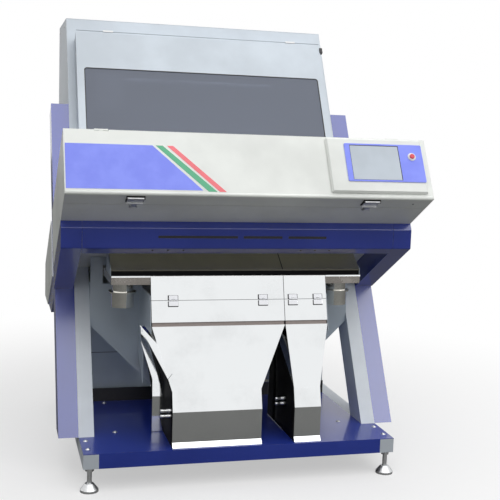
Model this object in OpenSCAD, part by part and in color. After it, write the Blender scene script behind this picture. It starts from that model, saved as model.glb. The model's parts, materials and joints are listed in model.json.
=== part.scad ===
// Optical colour sorter on a base frame, with a leaning body and a feed hopper on top.
// Millimetres, +Z up, front faces -Y, origin on the floor at the centre of the footprint.

/* [Overall] */
// Lean of the body from the upright, degrees
lean = 29; // [27:0.5:31]
// Width of the front and rear optics boxes
head_w = 1260; // [1220:2:1320]
// Width of the base and of the upper housing
body_w = 1112; // [1080:2:1140]
// Distance of the front lower head edge ahead of the base front
head_ahead = 68; // [50:1:90]
// Height of the front lower head edge
head_z = 1006; // [990:1:1030]
// Height of the upper housing's roof
roof_z = 1666; // [1650:1:1700]
// Depth of the housing's roof
housing_d = 428; // [420:1:480]

/* [Base] */
// Length of the base side rails
base_d = 1180; // [1170:1:1240]
// Height of the rail undersides above the floor
rail_z = 82; // [70:1:100]
// Rail height
rail_h = 50; // [40:1:60]
// Rail width
rail_w = 52; // [46:1:60]
// Rail wall
rail_t = 3; // [2:0.5:5]
// Thickness of the base tray sheet
tray_t = 2; // [1.5:0.5:4]
// Length of the base tray from front to back
tray_d = 640; // [620:1:680]
// Distance of the foot axes from the rail ends
foot_inset = 20; // [18:1:30]
// Radius of a foot pad
foot_r = 31; // [24:1:36]
// Height of a foot pad's rim
foot_rim = 8; // [5:1:12]
// Radius of a foot's stud
stud_r = 8; // [6:0.5:10]

/* [Columns] */
// Distance from the head front to the column fronts, along the lean's normal
column_b = 643; // [630:1:660]
// Depth of the columns and posts
column_d = 100; // [80:1:120]
// Distance of the columns' outer faces inside the head's cheeks
column_inset = 4; // [0:1:12]
// Length of the columns above the head's lower plane
column_top = 700; // [600:5:760]
// Wall of columns, posts and arms
column_t = 3; // [2:0.5:5]
// Width of the inner posts
post_w = 54; // [46:1:62]
// Height of the arms and the front beam
arm_h = 86; // [70:1:100]
// Distance from the head front to the beam's front
beam_b = 211.5; // [190:0.5:240]
// Height of the beam's upper leaning strip
beam_strip = 25.4; // [20:0.2:32]
// Depth of the front beam channel
beam_d = 80; // [60:1:100]
// Distance of the arms' inner faces outside the housing sides
arm_inset = 4; // [0:1:12]
// Seam between the beam and an arm
beam_seam = 0.8; // [0.3:0.1:1]
// Bend radius of folded sheet
bend_r = 6; // [3:0.5:10]
// Sheet of the beam
beam_t = 2; // [1.5:0.5:4]
// Height of the beam's vent slots
slot_h = 9; // [4:0.5:11]

/* [Optics] */
// Height of the front and rear optics boxes
head_h = 231; // [215:1:250]
// Depth of the hinged front cover
cover_d = 75; // [60:1:90]
// Sheet of the boxes and covers
sheet = 2; // [1.5:0.5:3]
// Distance from the base front to the rear box's back
rear_box_y = 1097; // [1085:1:1103]
// Height of the rear box's underside above the floor
rear_box_z = 485; // [475:1:500]
// Length of the viewing glasses past the outer lanes
glass_over = 25; // [15:1:40]
// Lower edge of the viewing glasses above the head's lower plane
glass_low = 65; // [62:1:80]
// Height of the viewing glasses
glass_h = 130; // [110:1:134]
// Thickness of the viewing glasses
glass_t = 5; // [4:0.5:8]
// Side of a camera body
camera_w = 70; // [50:1:90]
// Length of a camera body
camera_l = 100; // [70:1:130]
// Radius of a camera lens
lens_r = 22; // [15:0.5:30]
// Depth of a lamp bar
lamp_d = 30; // [20:1:40]

/* [Control panel] */
// Distance of the bezel from the cover's right edge
bezel_right = 20; // [10:1:40]
// Width of the raised bezel
bezel_w = 354; // [340:1:360]
// Lower edge of the bezel on the cover face
bezel_a = 17; // [12:1:22]
// Height of the bezel
bezel_h = 208; // [196:1:208]
// Thickness of the bezel
bezel_t = 11; // [8:0.5:13]
// Distance of the screen frame from the bezel's right edge
frame_right = 4; // [2:1:20]
// Width of the screen frame
frame_w = 287; // [280:1:288]
// Lower edge of the screen frame on the cover face
frame_a = 58; // [54:1:62]
// Height of the screen frame
frame_h = 144; // [140:1:148]
// Thickness of the screen frame
frame_t = 3; // [2:0.5:4]
// Width of the screen
screen_w = 181; // [170:1:186]
// Height of the screen
screen_h = 133; // [120:1:134]
// Offset of the screen's left edge from its frame's
screen_in = 19; // [14:1:22]
// Distance of the push button from the screen frame's right edge
button_in = 41; // [30:1:60]
// Place of the push button up the cover face
button_a = 155; // [140:1:165]
// Radius of the push button
button_r = 9; // [7:0.5:10]
// Radius of the button's collar
collar_r = 14.75; // [13:0.25:17]
// Travel of the push button
button_travel = 3; // [2:0.5:4]

/* [Hinges and latches] */
// Distance of the front cover's hinges from the head's cheeks
cover_hinge_in = 122; // [80:1:160]
// Radius of the cover's and door's hinge barrels
barrel_r = 4.5; // [4:0.25:5]
// Length of the cover's and door's hinges
hinge_l = 45; // [36:1:60]
// Radius of the hinge pins
pin_r = 2; // [1.5:0.25:2.5]
// Distance of the latches from the head's cheeks
latch_in = 225; // [180:1:260]
// Width of a latch plate
latch_w = 60; // [50:1:70]
// Length of a latch plate
latch_l = 44; // [40:1:50]
// Distance of the window door's hinges from the door's edges
door_hinge_in = 133; // [100:1:160]
// Width of a flap hinge
flap_hinge_w = 31; // [24:1:36]
// Radius of a flap hinge barrel
flap_barrel_r = 3; // [2.75:0.25:4]

/* [Upper housing] */
// Distance of the window door's edges inside the housing sides
door_in = 31; // [16:1:40]
// Lower edge of the door above the head's lower plane
door_low = 265; // [245:1:280]
// Upper edge of the door above the head's lower plane
door_top = 1003; // [990:1:1020]
// Depth of the door's box
door_d = 62; // [50:1:70]
// Width of the door's rim beside the window
door_rim = 29; // [20:1:40]
// Lower edge of the window
window_low = 420; // [380:1:460]
// Upper edge of the window
window_top = 837; // [800:1:880]
// Corner radius of the window
window_r = 12; // [6:1:24]
// Thickness of the window pane
pane_t = 4; // [3:0.5:6]
// Height of the housing's rear wall
rear_wall_h = 484; // [440:1:520]

/* [Feed] */
// Width of one lane
lane_w = 160; // [156:1:164]
// Distance of the slide's back from the column fronts
slide_in = 57; // [50:1:64]
// Upper end of the slides above the head's lower plane
slide_top = 800; // [780:1:810]
// Lower end of the slides above the head's lower plane
slide_low = 215; // [200:1:228]
// Height of the slides' lips
slide_lip = 15; // [10:1:20]
// Distance of the feeder tray's discharge lip ahead of the slides' upper ends
feeder_reach = 10; // [4:1:14]
// Length of the feeder trays
feeder_l = 355; // [330:1:380]
// Height of the feeder tray floor above the slides' upper ends
feeder_drop = 28; // [20:1:34]
// Height of the feeder tray sides
feeder_h = 40; // [30:1:48]
// Height of the feeder drives
drive_h = 120; // [90:1:140]
// Height of the drives' heads under the trays
drive_head = 30; // [20:1:40]
// Distance of the hopper mouth from the roof's front edge
hopper_setback = 88; // [80:1:98]
// Length of the hopper mouth
hopper_l = 310; // [280:1:320]
// Half width of the hopper mouth
hopper_x = 340; // [330:1:380]
// Length of the hopper's outlet slot
hopper_slot = 80; // [60:1:100]

/* [Outlets] */
// Lean of the front outlets from the upright, degrees
face_lean = 16; // [15:0.5:17]
// Distance from the base front to the top of the outlet panels
face_y = 150; // [146:1:156]
// Height of the top of the outlet panels
face_z = 709; // [700:1:715]
// Length of the fixed outlet panels
panel_l = 84; // [70:1:95]
// Length of the flaps
flap_l = 76; // [60:1:80]
// Gap under the flaps
flap_gap = 14; // [8:1:20]
// Outlet sheet
steel_t = 2; // [1.5:0.5:3]
// Height at which the outlet chutes turn upright
fold_z = 258; // [240:1:275]
// Height at which the outlet chutes stop narrowing
kink_z = 325; // [310:1:345]
// Distance from the base front to the back of the outlet chutes
chute_back = 260; // [240:1:280]
// Height of the outlet chutes' side walls
chute_side_z = 505; // [480:1:515]
// Width of the chutes' back flanges
chute_flange = 30; // [20:1:34]
// Left edge of the wide chute's foot
wide_left = -254; // [-262:1:-240]
// Right edge of the wide chute's foot
wide_right = 62; // [50:1:80]
// Left edge of the narrow chute's foot
narrow_left = 182; // [172:1:190]
// Right edge of the narrow chute's foot
narrow_right = 279; // [270:1:290]
// Distance of the dust tray's ends from the posts
dust_in = 47; // [36:1:52]
// Height of the dust tray's rim
dust_h = 30; // [24:1:36]
// Slope of the apron plates over the dust tray
apron_rise = 35; // [30:1:40]
// Height of the apron's lower edge above the dust tray's rim
apron_gap = 22; // [20:1:28]
// Distance of the apron's lower edge behind the dust tray's front
apron_back = 8; // [4:1:14]
// Distance of the dust spouts from the dust tray's ends
spout_in = 53; // [48:1:60]
// Distance from the base front to the dust spouts
spout_y = 260; // [245:1:275]
// Inner radius of a dust spout
spout_r = 39; // [30:1:41]
// Inner radius of a dust spout's neck
neck_r = 36; // [24:1:37]
// Wall of a dust spout
spout_t = 2; // [1.5:0.5:3]
// Length of a dust spout
spout_l = 94; // [80:1:110]
// Height of the spout's flange above the spout's end
spout_flange = 51; // [45:1:60]
// Distance of the rear funnel behind the posts' fronts, where it narrows
funnel_in = 19; // [10:1:30]
// Length of the rear funnel
funnel_l = 245; // [230:1:255]
// Gap between the rear funnel and the optics boxes
funnel_gap = 1; // [0.5:0.1:2]
// Height at which the rear funnel narrows
funnel_side_z = 490; // [480:1:500]
// Half width of the rear funnel's outlet
funnel_x = 273; // [260:1:285]
// Height of the rear funnel's outlet
funnel_low = 261; // [250:1:270]
// Height of the rear panel's lower edge
rear_panel_z = 180; // [170:1:190]
// Length of the rear chute past the rear funnel
rear_chute_l = 115; // [90:1:150]

/* [Clearances] */
// Radial clearance of pins and studs in their bores
run_clear = 0.06; // [0.02:0.01:0.1]
// Gap between pieces that move past each other
move_gap = 0.5; // [0.3:0.1:1]

/* [Hidden] */
$fn = 64;

// Paint and metal colours
paint_blue = "#1f3391";
paint_grey = "#bcc6cd";
paint_white = "#eef1ef";
paint_dark = "#6b757b";
steel = "#dfe3e5";
dark = "#26292e";

// Overall places
half_head = head_w / 2;
half_body = body_w / 2;
rail_top = rail_z + rail_h;
floor_z = rail_top + tray_t;
rail_in = half_body - rail_w;
post_in = half_body - post_w;
column_back = column_b + column_d;
column_out = half_head - column_inset;
arm_in = half_body + arm_inset;
glass_x = 2 * lane_w + glass_over;
far = 4000;
cut = 1;

// Place of a point of the leaning frame in the upright frame, and back
function lean_y(b, a) = -head_ahead + b * cos(lean) + a * sin(lean);
function lean_z(b, a) = head_z - b * sin(lean) + a * cos(lean);
function lean_b(y, z) = (y + head_ahead) * cos(lean) - (z - head_z) * sin(lean);
function lean_a(y, z) = (y + head_ahead) * sin(lean) + (z - head_z) * cos(lean);
// Distance from the base front to the column fronts at a height
function column_y(z) = -head_ahead + (column_b + (z - head_z) * sin(lean)) / cos(lean);
// Distance from the base front to the outlet face at a height
function outlet_y(z) = face_y - (face_z - z) * tan(face_lean);
// Distance down the outlet face of a height
function outlet_s(z) = (face_z - z) / cos(face_lean);
// Points of a round bend at q, between the straight runs from p and to s
function bend(p, q, s, r, n = 4) =
    let (u = (p - q) / norm(p - q), v = (s - q) / norm(s - q), h = acos(u * v) / 2)
    let (m = (u + v) / norm(u + v), c = q + m * r / sin(h), a = q + u * r / tan(h) - c, e = q + v * r / tan(h) - c)
    [for (i = [0 : n]) let (w = a * (n - i) / n + e * i / n) c + w * r / norm(w)];
// Front and back of the upper housing's roof
front_top_a = (roof_z - sheet - head_z + column_b * sin(lean)) / cos(lean);
front_top_y = lean_y(column_b, front_top_a);
housing_rear_y = front_top_y + housing_d;
y_mid = (housing_rear_y - head_ahead) / 2;

module upright() translate([0, -y_mid, 0]) children();
module leaning() upright() translate([0, -head_ahead, head_z]) rotate([-lean, 0, 0]) children();
module outlet_face() upright() translate([0, face_y, face_z]) rotate([-face_lean, 0, 0]) children();
module both_sides() {
    children();
    mirror([1, 0, 0]) children();
}
module block(x0, x1, y0, y1, z0, z1) translate([x0, y0, z0]) cube([x1 - x0, y1 - y0, z1 - z0]);
// A profile of (y, z) points carried along X
module along_x(x0, x1) translate([x0, 0, 0]) rotate([90, 0, 90]) linear_extrude(x1 - x0) children();
// A profile of (x, z) points carried along Y
module along_y(y0, y1) translate([0, y1, 0]) rotate([90, 0, 0]) linear_extrude(y1 - y0) children();
module rod_x(x0, x1, y, z, r) translate([x0, y, z]) rotate([0, 90, 0]) cylinder(h = x1 - x0, r = r);
module rod_y(x, y0, y1, z, r) translate([x, y0, z]) rotate([-90, 0, 0]) cylinder(h = y1 - y0, r = r);
module round_rect(x0, x1, y0, y1, r) {
    translate([x0 + r, y0]) square([x1 - x0 - 2 * r, y1 - y0]);
    translate([x0, y0 + r]) square([x1 - x0, y1 - y0 - 2 * r]);
    for (x = [x0 + r, x1 - r], y = [y0 + r, y1 - r]) translate([x, y]) circle(r = r);
}
// A rectangular tube along Z between two heights
module tube_z(x0, x1, y0, y1, z0, z1, t) difference() {
    block(x0, x1, y0, y1, z0, z1);
    block(x0 + t, x1 - t, y0 + t, y1 - t, z0 - cut, z1 + cut);
}

// Base

foot_x = half_body - rail_w / 2 + 3;
foot_ys = [foot_inset, base_d - foot_inset];
boss_h = 22;
boss_r = stud_r + 6;
cap_t = 2;

module side_rails() color(paint_grey) upright() both_sides() difference() {
    union() {
        difference() {
            block(rail_in, half_body, cap_t, base_d - cap_t, rail_z, rail_top);
            block(rail_in + rail_t, half_body - rail_t, 0, base_d, rail_z + rail_t, rail_top - rail_t);
        }
        for (y = foot_ys) translate([foot_x, y, rail_z + rail_t / 2]) cylinder(h = boss_h, r = boss_r);
    }
    for (y = foot_ys)
        translate([foot_x, y, rail_z - cut]) cylinder(h = boss_h + 2 * rail_t + cut, r = stud_r + run_clear);
}

rear_rail_in = 60;
module cross_rails() color(paint_grey) upright()
    for (y = [tray_d - rail_h, base_d - rear_rail_in - rail_h])
        difference() {
            block(-rail_in, rail_in, y, y + rail_h, rail_z, rail_top);
            block(-far, far, y + rail_t, y + rail_h - rail_t, rail_z + rail_t, rail_top - rail_t);
        }

cap_plug = 12;
cap_gap = 0.3;
cap_in = rail_t + cap_gap;
module rail_cap() {
    block(rail_in, half_body, 0, cap_t, rail_z, rail_top);
    difference() {
        block(rail_in + cap_in, half_body - cap_in, cap_t - cut, cap_t + cap_plug / 4,
              rail_z + cap_in, rail_top - cap_in);
        block(rail_in + 3 * cap_in, half_body - 3 * cap_in, cap_t, cap_plug,
              rail_z + 3 * cap_in, rail_top - 3 * cap_in);
    }
}
module rail_caps() color(paint_grey) upright() both_sides() {
    rail_cap();
    translate([0, base_d, 0]) mirror([0, 1, 0]) rail_cap();
}

lip_return = 14;
module chute_hole(x0, x1)
    block(x0 + steel_t, x1 - steel_t, outlet_y(fold_z) + steel_t, chute_back, rail_z - cut, floor_z + cut);
tray_notch_y = column_y(floor_z) - 2;
module base_tray() color(paint_blue) upright() difference() {
    union() {
        block(-half_body, half_body, 0, tray_notch_y, rail_top, floor_z);
        block(-post_in, post_in, 0, tray_d, rail_top, floor_z);
        block(-rail_in, rail_in, 0, tray_t, rail_z, floor_z);
        block(-rail_in, rail_in, 0, lip_return, rail_z, rail_z + tray_t);
    }
    chute_hole(wide_left, wide_right);
    chute_hole(narrow_left, narrow_right);
}

nut_h = 11;
nut_r = 15;
foot_cone = 20;
module foot(x, y) color(steel) upright() translate([x, y, 0]) {
    cylinder(h = foot_rim, r = foot_r);
    translate([0, 0, foot_rim]) cylinder(h = foot_cone, r1 = foot_r, r2 = nut_r);
    cylinder(h = rail_z + boss_h, r = stud_r);
    translate([0, 0, rail_z - nut_h - move_gap]) cylinder(h = nut_h, r = nut_r, $fn = 6);
}
module foot_front_left() foot(-foot_x, foot_ys[0]);
module foot_front_right() foot(foot_x, foot_ys[0]);
module foot_rear_left() foot(-foot_x, foot_ys[1]);
module foot_rear_right() foot(foot_x, foot_ys[1]);

// Columns, posts, arms and beam

column_low = -1000;
module above(z) intersection() {
    children();
    upright() block(-far, far, -far, far, z, far);
}
module post() above(rail_top) leaning()
    tube_z(post_in, half_body, column_b, column_back, column_low, head_h, column_t);
module post_left() color(paint_grey) mirror([1, 0, 0]) post();
module post_right() color(paint_grey) post();

module column() {
    above(floor_z) leaning()
        tube_z(half_body, column_out, column_b, column_back, column_low, column_top, column_t);
    leaning() block(half_body, column_out, column_b, column_back, column_top - column_t, column_top);
}
module column_left() color(paint_blue) mirror([1, 0, 0]) column();
module column_right() color(paint_blue) column();

// The beam's face is upright below its leaning strip
beam_toe_b = beam_b + (arm_h - beam_strip) * tan(lean);
// Front outline of the beam and arms set in by t, from the top to the toe, with round bends
function nose(t, end) = let (
    top = [beam_b + t, -t], fold = [beam_b + t, -beam_strip - t * (1 - cos(lean)) / sin(lean)],
    toe = [beam_toe_b + t * (1 - sin(lean)) / cos(lean), t - arm_h]
) concat([top], bend(top, fold, toe, bend_r - t), bend(fold, toe, [end, t - arm_h], bend_r - t));
module front_arms() color(paint_blue) leaning() both_sides() difference() {
    t = column_t;
    along_x(arm_in, half_head) polygon(concat(nose(0, column_b), [[column_b, -arm_h], [column_b, 0]]));
    along_x(arm_in + t, half_head - t)
        polygon(concat(nose(t, column_b), [[column_b + t, t - arm_h], [column_b + t, -t]]));
}
rear_toe_b = (head_z - rear_box_z) / sin(lean);
module rear_arms() color(paint_blue) above(rear_box_z) leaning() both_sides() difference() {
    t = column_t;
    along_x(arm_in, column_out)
        polygon([[column_back, 0], [column_back, -arm_h], [rear_toe_b, -arm_h], [rear_toe_b, 0]]);
    along_x(arm_in + t, column_out - t) polygon([
        [column_back + t, -t], [column_back + t, t - arm_h],
        [rear_toe_b - 2 * t, t - arm_h], [rear_toe_b - 2 * t, -t]
    ]);
}

slot_z = lean_z(beam_b, -beam_strip) - 30;
slot_y = lean_y(beam_b, -beam_strip);
slot_ends = [[-303, -23], [-3, 139], [161, 303]];
module front_beam() color(paint_blue) difference() {
    end = beam_b + beam_d;
    leaning() difference() {
        along_x(beam_seam - arm_in, arm_in - beam_seam) polygon(concat(nose(0, end), [[end, -arm_h], [end, 0]]));
        along_x(-far, far)
            polygon(concat(nose(beam_t, end), [[end + cut, beam_t - arm_h], [end + cut, -beam_t]]));
    }
    upright() for (s = slot_ends)
        block(s[0], s[1], slot_y - cut, slot_y + 4 * beam_t, slot_z - slot_h / 2, slot_z + slot_h / 2);
}

// Underside of the upper housing, from the rear box's top to the rear wall's foot
back_low_in = 117;
back_low_b = column_back + back_low_in;
back_low = [lean_y(back_low_b, head_h), lean_z(back_low_b, head_h)];
back_high = [housing_rear_y, roof_z - sheet - rear_wall_h];
function back_z(y) = back_low[1] + (y - back_low[0]) * (back_high[1] - back_low[1]) / (back_high[0] - back_low[0]);

leg_gap = 11;
leg_y = rear_box_y + leg_gap;
module rear_legs() color(paint_grey) upright() both_sides() difference() {
    leg_back = leg_y + rail_h;
    along_x(rail_in, half_body)
        polygon([[leg_y, rail_top], [leg_back, rail_top], [leg_back, back_z(leg_back)], [leg_y, back_z(leg_y)]]);
    block(rail_in + rail_t, half_body - rail_t, leg_y + rail_t, leg_y + rail_h - rail_t, 0, far);
}

// Front optics box and its cover

cover_hinge_x = half_head - cover_hinge_in;
latch_x = half_head - latch_in;
bezel_x = half_head - bezel_right - bezel_w;
frame_x = bezel_x + bezel_w - frame_right - frame_w;
button_x = frame_x + frame_w - button_in;
cover_gap = 2;
roof_front = 12;
window_in = 6;
module front_box() color(paint_white) leaning() difference() {
    union() {
        block(-half_head, half_head, cover_d + cover_gap, column_b, 0, head_h);
        block(-half_head, half_head, roof_front, column_b, head_h - sheet, head_h);
    }
    block(sheet - half_head, half_head - sheet, 0, column_b - sheet, sheet, head_h - sheet);
    block(window_in - glass_x, glass_x - window_in, column_b - 2 * sheet, column_b + cut,
          glass_low + window_in, glass_low + glass_h - window_in);
}

cover_axis = [barrel_r + 1, head_h];
cover_top = head_h - 0.5;
leaf_t = 2;
leaf_l = 30;
knuckle = hinge_l / 3;
module hinge_at(x) translate([x, 0, 0]) children();
module front_cover() color(paint_white) leaning() difference() {
    union() {
        difference() {
            union() {
                block(-half_head, half_head, 0, cover_d, 0, cover_top - 3);
                block(-half_head, half_head, 0, sheet, 0, cover_top);
            }
            block(sheet - half_head, half_head - sheet, sheet, far, sheet, far);
            for (x = [-cover_hinge_x, cover_hinge_x]) hinge_at(x)
                block(-hinge_l / 2 - 1, hinge_l / 2 + 1, -cut, far, head_h - barrel_r - 1, far);
        }
        for (x = [-cover_hinge_x, cover_hinge_x]) hinge_at(x) {
            rod_x(move_gap - knuckle / 2, knuckle / 2 - move_gap, cover_axis[0], cover_axis[1], barrel_r);
            block(move_gap - knuckle / 2, knuckle / 2 - move_gap, sheet, sheet + leaf_t, head_h - leaf_l, head_h);
        }
    }
    for (x = [-cover_hinge_x, cover_hinge_x]) hinge_at(x)
        rod_x(-knuckle, knuckle, cover_axis[0], cover_axis[1], pin_r + run_clear);
    rod_y(button_x, -cut, 2 * sheet, button_a, button_r + 2);
}

module cover_hinges() color(paint_white) leaning()
    for (x = [-cover_hinge_x, cover_hinge_x]) hinge_at(x) {
        for (s = [-1, 1]) {
            translate([s * knuckle, 0, 0])
                rod_x(-knuckle / 2, knuckle / 2, cover_axis[0], cover_axis[1], barrel_r);
            translate([s * knuckle, 0, 0])
                block(-knuckle / 2, knuckle / 2, cover_axis[0], roof_front + leaf_l, head_h, head_h + leaf_t);
        }
        block(-hinge_l / 2, hinge_l / 2, roof_front + 2 * leaf_t, roof_front + leaf_l, head_h, head_h + leaf_t);
        rod_x(-hinge_l / 2, hinge_l / 2, cover_axis[0], cover_axis[1], pin_r);
    }

bezel_r = 8;
bezel_edge = 6;
// The bezel's front edges are bevelled by square bars turned on edge
module control_bezel() color(paint_white) leaning() difference() {
    along_y(-bezel_t, 0) round_rect(bezel_x, bezel_x + bezel_w, bezel_a, bezel_a + bezel_h, bezel_r);
    for (x = [bezel_x, bezel_x + bezel_w]) translate([x, -bezel_t, 0]) rotate([0, 0, 45])
        cube([bezel_edge * sqrt(2), bezel_edge * sqrt(2), far], center = true);
    for (a = [bezel_a, bezel_a + bezel_h]) translate([0, -bezel_t, a]) rotate([45, 0, 0])
        cube([far, bezel_edge * sqrt(2), bezel_edge * sqrt(2)], center = true);
    rod_y(button_x, -far, far, button_a, button_r + 2);
}
frame_r = 5;
screen_x = frame_x + screen_in;
screen_a = frame_a + (frame_h - screen_h) / 2;
module screen_frame() color("#6f7fd8") leaning() difference() {
    along_y(-bezel_t - frame_t, -bezel_t)
        round_rect(frame_x, frame_x + frame_w, frame_a, frame_a + frame_h, frame_r);
    block(screen_x, screen_x + screen_w, -far, far, screen_a, screen_a + screen_h);
    rod_y(button_x, -far, far, button_a, button_r + 2);
}
screen_gap = 0.3;
module screen_panel() color("#bfc8d2") leaning()
    block(screen_x + screen_gap, screen_x + screen_w - screen_gap, -bezel_t - frame_t / 2, -bezel_t,
          screen_a + screen_gap, screen_a + screen_h - screen_gap);
collar_h = 4;
button_out = button_travel;
button_face = bezel_t + frame_t;
module button_collar() color("white") leaning() difference() {
    union() {
        rod_y(button_x, -button_face - collar_h / 2, -button_face, button_a, collar_r);
        rod_y(button_x, -button_face - collar_h, -button_face, button_a, collar_r - 2);
    }
    rod_y(button_x, -far, far, button_a, button_r + run_clear);
}
module push_button() color("#d8262c") leaning() {
    rod_y(button_x, -button_face - collar_h - button_out, -button_face + 1, button_a, button_r);
    rod_y(button_x, -button_face - collar_h - button_out - 1, -button_face, button_a, button_r - 1.5);
}

// Draw latches under the front cover

latch_b = 10;
latch_t = 2;
latch_axis = [latch_b + 6, -7];
ear_w = 3;
lever_gap = 0.4;
hub_r = 4;
lever_t = 2.5;
keeper_b = cover_d + cover_gap + 4;
module latch_plate() {
    ear_x = latch_w / 2;
    block(-ear_x, ear_x, latch_b, latch_b + latch_l, -latch_t, 0);
    for (s = [-1, 1]) {
        x = s * (ear_x - ear_w / 2);
        rod_x(x - ear_w / 2, x + ear_w / 2, latch_axis[0], latch_axis[1], hub_r);
        block(x - ear_w / 2, x + ear_w / 2, latch_axis[0] - hub_r, latch_axis[0] + hub_r, latch_axis[1], -latch_t);
    }
    rod_x(-ear_x, ear_x, latch_axis[0], latch_axis[1], pin_r);
}
module latch_plates() color(dark) leaning() for (x = [-latch_x, latch_x]) translate([x, 0, 0]) latch_plate();
module latch_lever() color(steel) leaning() difference() {
    half = latch_w / 2 - ear_w - lever_gap;
    grip_b = latch_b + latch_l - 4;
    union() {
        rod_x(-half, half, latch_axis[0], latch_axis[1], hub_r);
        block(-half, half, latch_axis[0], grip_b, latch_axis[1] - lever_t / 2, latch_axis[1] + lever_t / 2);
        block(-half, half, grip_b - lever_t, grip_b, latch_axis[1] - 2 * lever_t, latch_axis[1]);
        block(-half / 3, half / 3, grip_b - 1, keeper_b - move_gap,
              latch_axis[1] - lever_t / 2, latch_axis[1] + lever_t / 2);
    }
    rod_x(-far, far, latch_axis[0], latch_axis[1], pin_r + run_clear);
}
module latch_lever_left() translate([-latch_x, 0, 0]) latch_lever();
module latch_lever_right() translate([latch_x, 0, 0]) latch_lever();
keeper_w = 26;
keeper_l = 12;
module latch_keepers() color(steel) leaning() for (x = [-latch_x, latch_x]) {
    block(x - keeper_w / 2, x + keeper_w / 2, keeper_b, keeper_b + keeper_l, -latch_t, 0);
    block(x - keeper_w / 2, x + keeper_w / 2, keeper_b, keeper_b + 3, latch_axis[1] - lever_t, 0);
}

// Cameras, lamps and glasses

module viewing_glasses() color("#a9c7cf") leaning() for (b = [column_b - sheet - glass_t, column_back + sheet])
    block(-glass_x, glass_x, b, b + glass_t, glass_low, glass_low + glass_h);

camera_x = lane_w;
camera_a = glass_low + glass_h / 2;
front_camera_b = 230;
rear_camera_in = 220;
rear_camera_b = column_back + rear_camera_in;
lens_l = 40;
bracket_w = 40;
module camera(b, way) {
    front = way > 0 ? b + camera_l : b;
    block(-camera_w / 2, camera_w / 2, b, b + camera_l, camera_a - camera_w / 2, camera_a + camera_w / 2);
    rod_y(0, min(front, front + way * lens_l), max(front, front + way * lens_l), camera_a, lens_r);
    block(-bracket_w / 2, bracket_w / 2, b + camera_l / 4, b + camera_l * 3 / 4, sheet, camera_a);
}
module cameras() color(dark) leaning() for (x = [-camera_x, camera_x]) translate([x, 0, 0]) {
    camera(front_camera_b, 1);
    camera(rear_camera_b, -1);
}

lamp_h = 28;
lamp_as = [glass_low - 4 - lamp_h, glass_low + glass_h + 4];
module lamp_bars() color("#f2f2ea") leaning() for (a = lamp_as) {
    block(-glass_x, glass_x, column_b - sheet - lamp_d, column_b - sheet, a, a + lamp_h);
    block(-glass_x, glass_x, column_back + sheet, column_back + sheet + lamp_d, a, a + lamp_h);
}

// Rear optics box, its cover and the air ejector

access_side = 160;
access_x = half_head - access_side;
access_in = 16;
rear_top_b = (rear_box_y + head_ahead - head_h * sin(lean)) / cos(lean);
function rear_point(y, z) = [lean_b(y, z), lean_a(y, z)];
module rear_box() color(paint_white) difference() {
    t = sheet;
    low = rear_point(rear_box_y, rear_box_z);
    in_low = rear_point(rear_box_y - t, rear_box_z + t);
    leaning() difference() {
        along_x(-half_head, half_head)
            polygon([[column_back, head_h], [rear_top_b, head_h], low, [rear_toe_b, 0], [column_back, 0]]);
        along_x(t - half_head, half_head - t) polygon([
            [column_back + t, head_h - t], [rear_top_b - t, head_h - t], in_low,
            [rear_toe_b - t, t], [column_back + t, t]
        ]);
        block(window_in - glass_x, glass_x - window_in, column_back - cut, column_back + 2 * t,
              glass_low + window_in, glass_low + glass_h - window_in);
    }
    upright() block(-access_x, access_x, rear_box_y - 2 * t, rear_box_y + cut,
                    rear_box_z + access_in, lean_z(rear_top_b, head_h) - access_in);
}
seat_gap = 0.1;
module rear_cover() color(paint_white) upright()
    block(-access_x - access_in / 2, access_x + access_in / 2, rear_box_y + seat_gap, rear_box_y + seat_gap + sheet,
          rear_box_z + access_in / 2, lean_z(rear_top_b, head_h) - access_in / 2);

ejector_a = 12;
ejector_h = 46;
ejector_d = 30;
module ejector_bar() color(steel) leaning() along_x(-2 * lane_w - 10, 2 * lane_w + 10) polygon([
    [column_back - ejector_d, ejector_a + ejector_h * 0.6], [column_back - ejector_d + 8, ejector_a],
    [column_back, ejector_a], [column_back, ejector_a + ejector_h],
    [column_back - ejector_d, ejector_a + ejector_h * 0.75]
]);
valve_n = 16;
valve_w = 30;
valve_h = 40;
module air_valves() color(dark) leaning() for (i = [0 : valve_n - 1]) {
    x = (i - (valve_n - 1) / 2) * 4 * lane_w / valve_n;
    block(x - valve_w / 2, x + valve_w / 2, column_back - ejector_d + 10, column_back - 4,
          ejector_a - valve_h, ejector_a);
}

// Upper housing

module housing_sides() color(paint_grey) upright() both_sides() along_x(half_body - sheet, half_body) polygon([
    [lean_y(column_b, head_h), lean_z(column_b, head_h)], [front_top_y, roof_z - sheet],
    [housing_rear_y, roof_z - sheet], back_high, back_low
]);
port_in = 45;
door_x = half_body - door_in;
module housing_front() color(paint_grey) leaning() difference() {
    block(sheet - half_body, half_body - sheet, column_b, column_b + sheet, head_h, front_top_a);
    block(port_in - door_x, door_x - port_in, column_b - cut, column_b + 2 * sheet,
          door_low + port_in, door_top - port_in);
}
hopper_y = front_top_y + hopper_setback;
module housing_roof() color(paint_grey) upright() difference() {
    block(-half_body, half_body, front_top_y, housing_rear_y, roof_z - sheet, roof_z);
    block(-hopper_x, hopper_x, hopper_y, hopper_y + hopper_l, roof_z - 2 * sheet, roof_z + cut);
}
louvre_n = 9;
louvre_w = 220;
louvre_h = 6;
louvre_pitch = 18;
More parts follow.
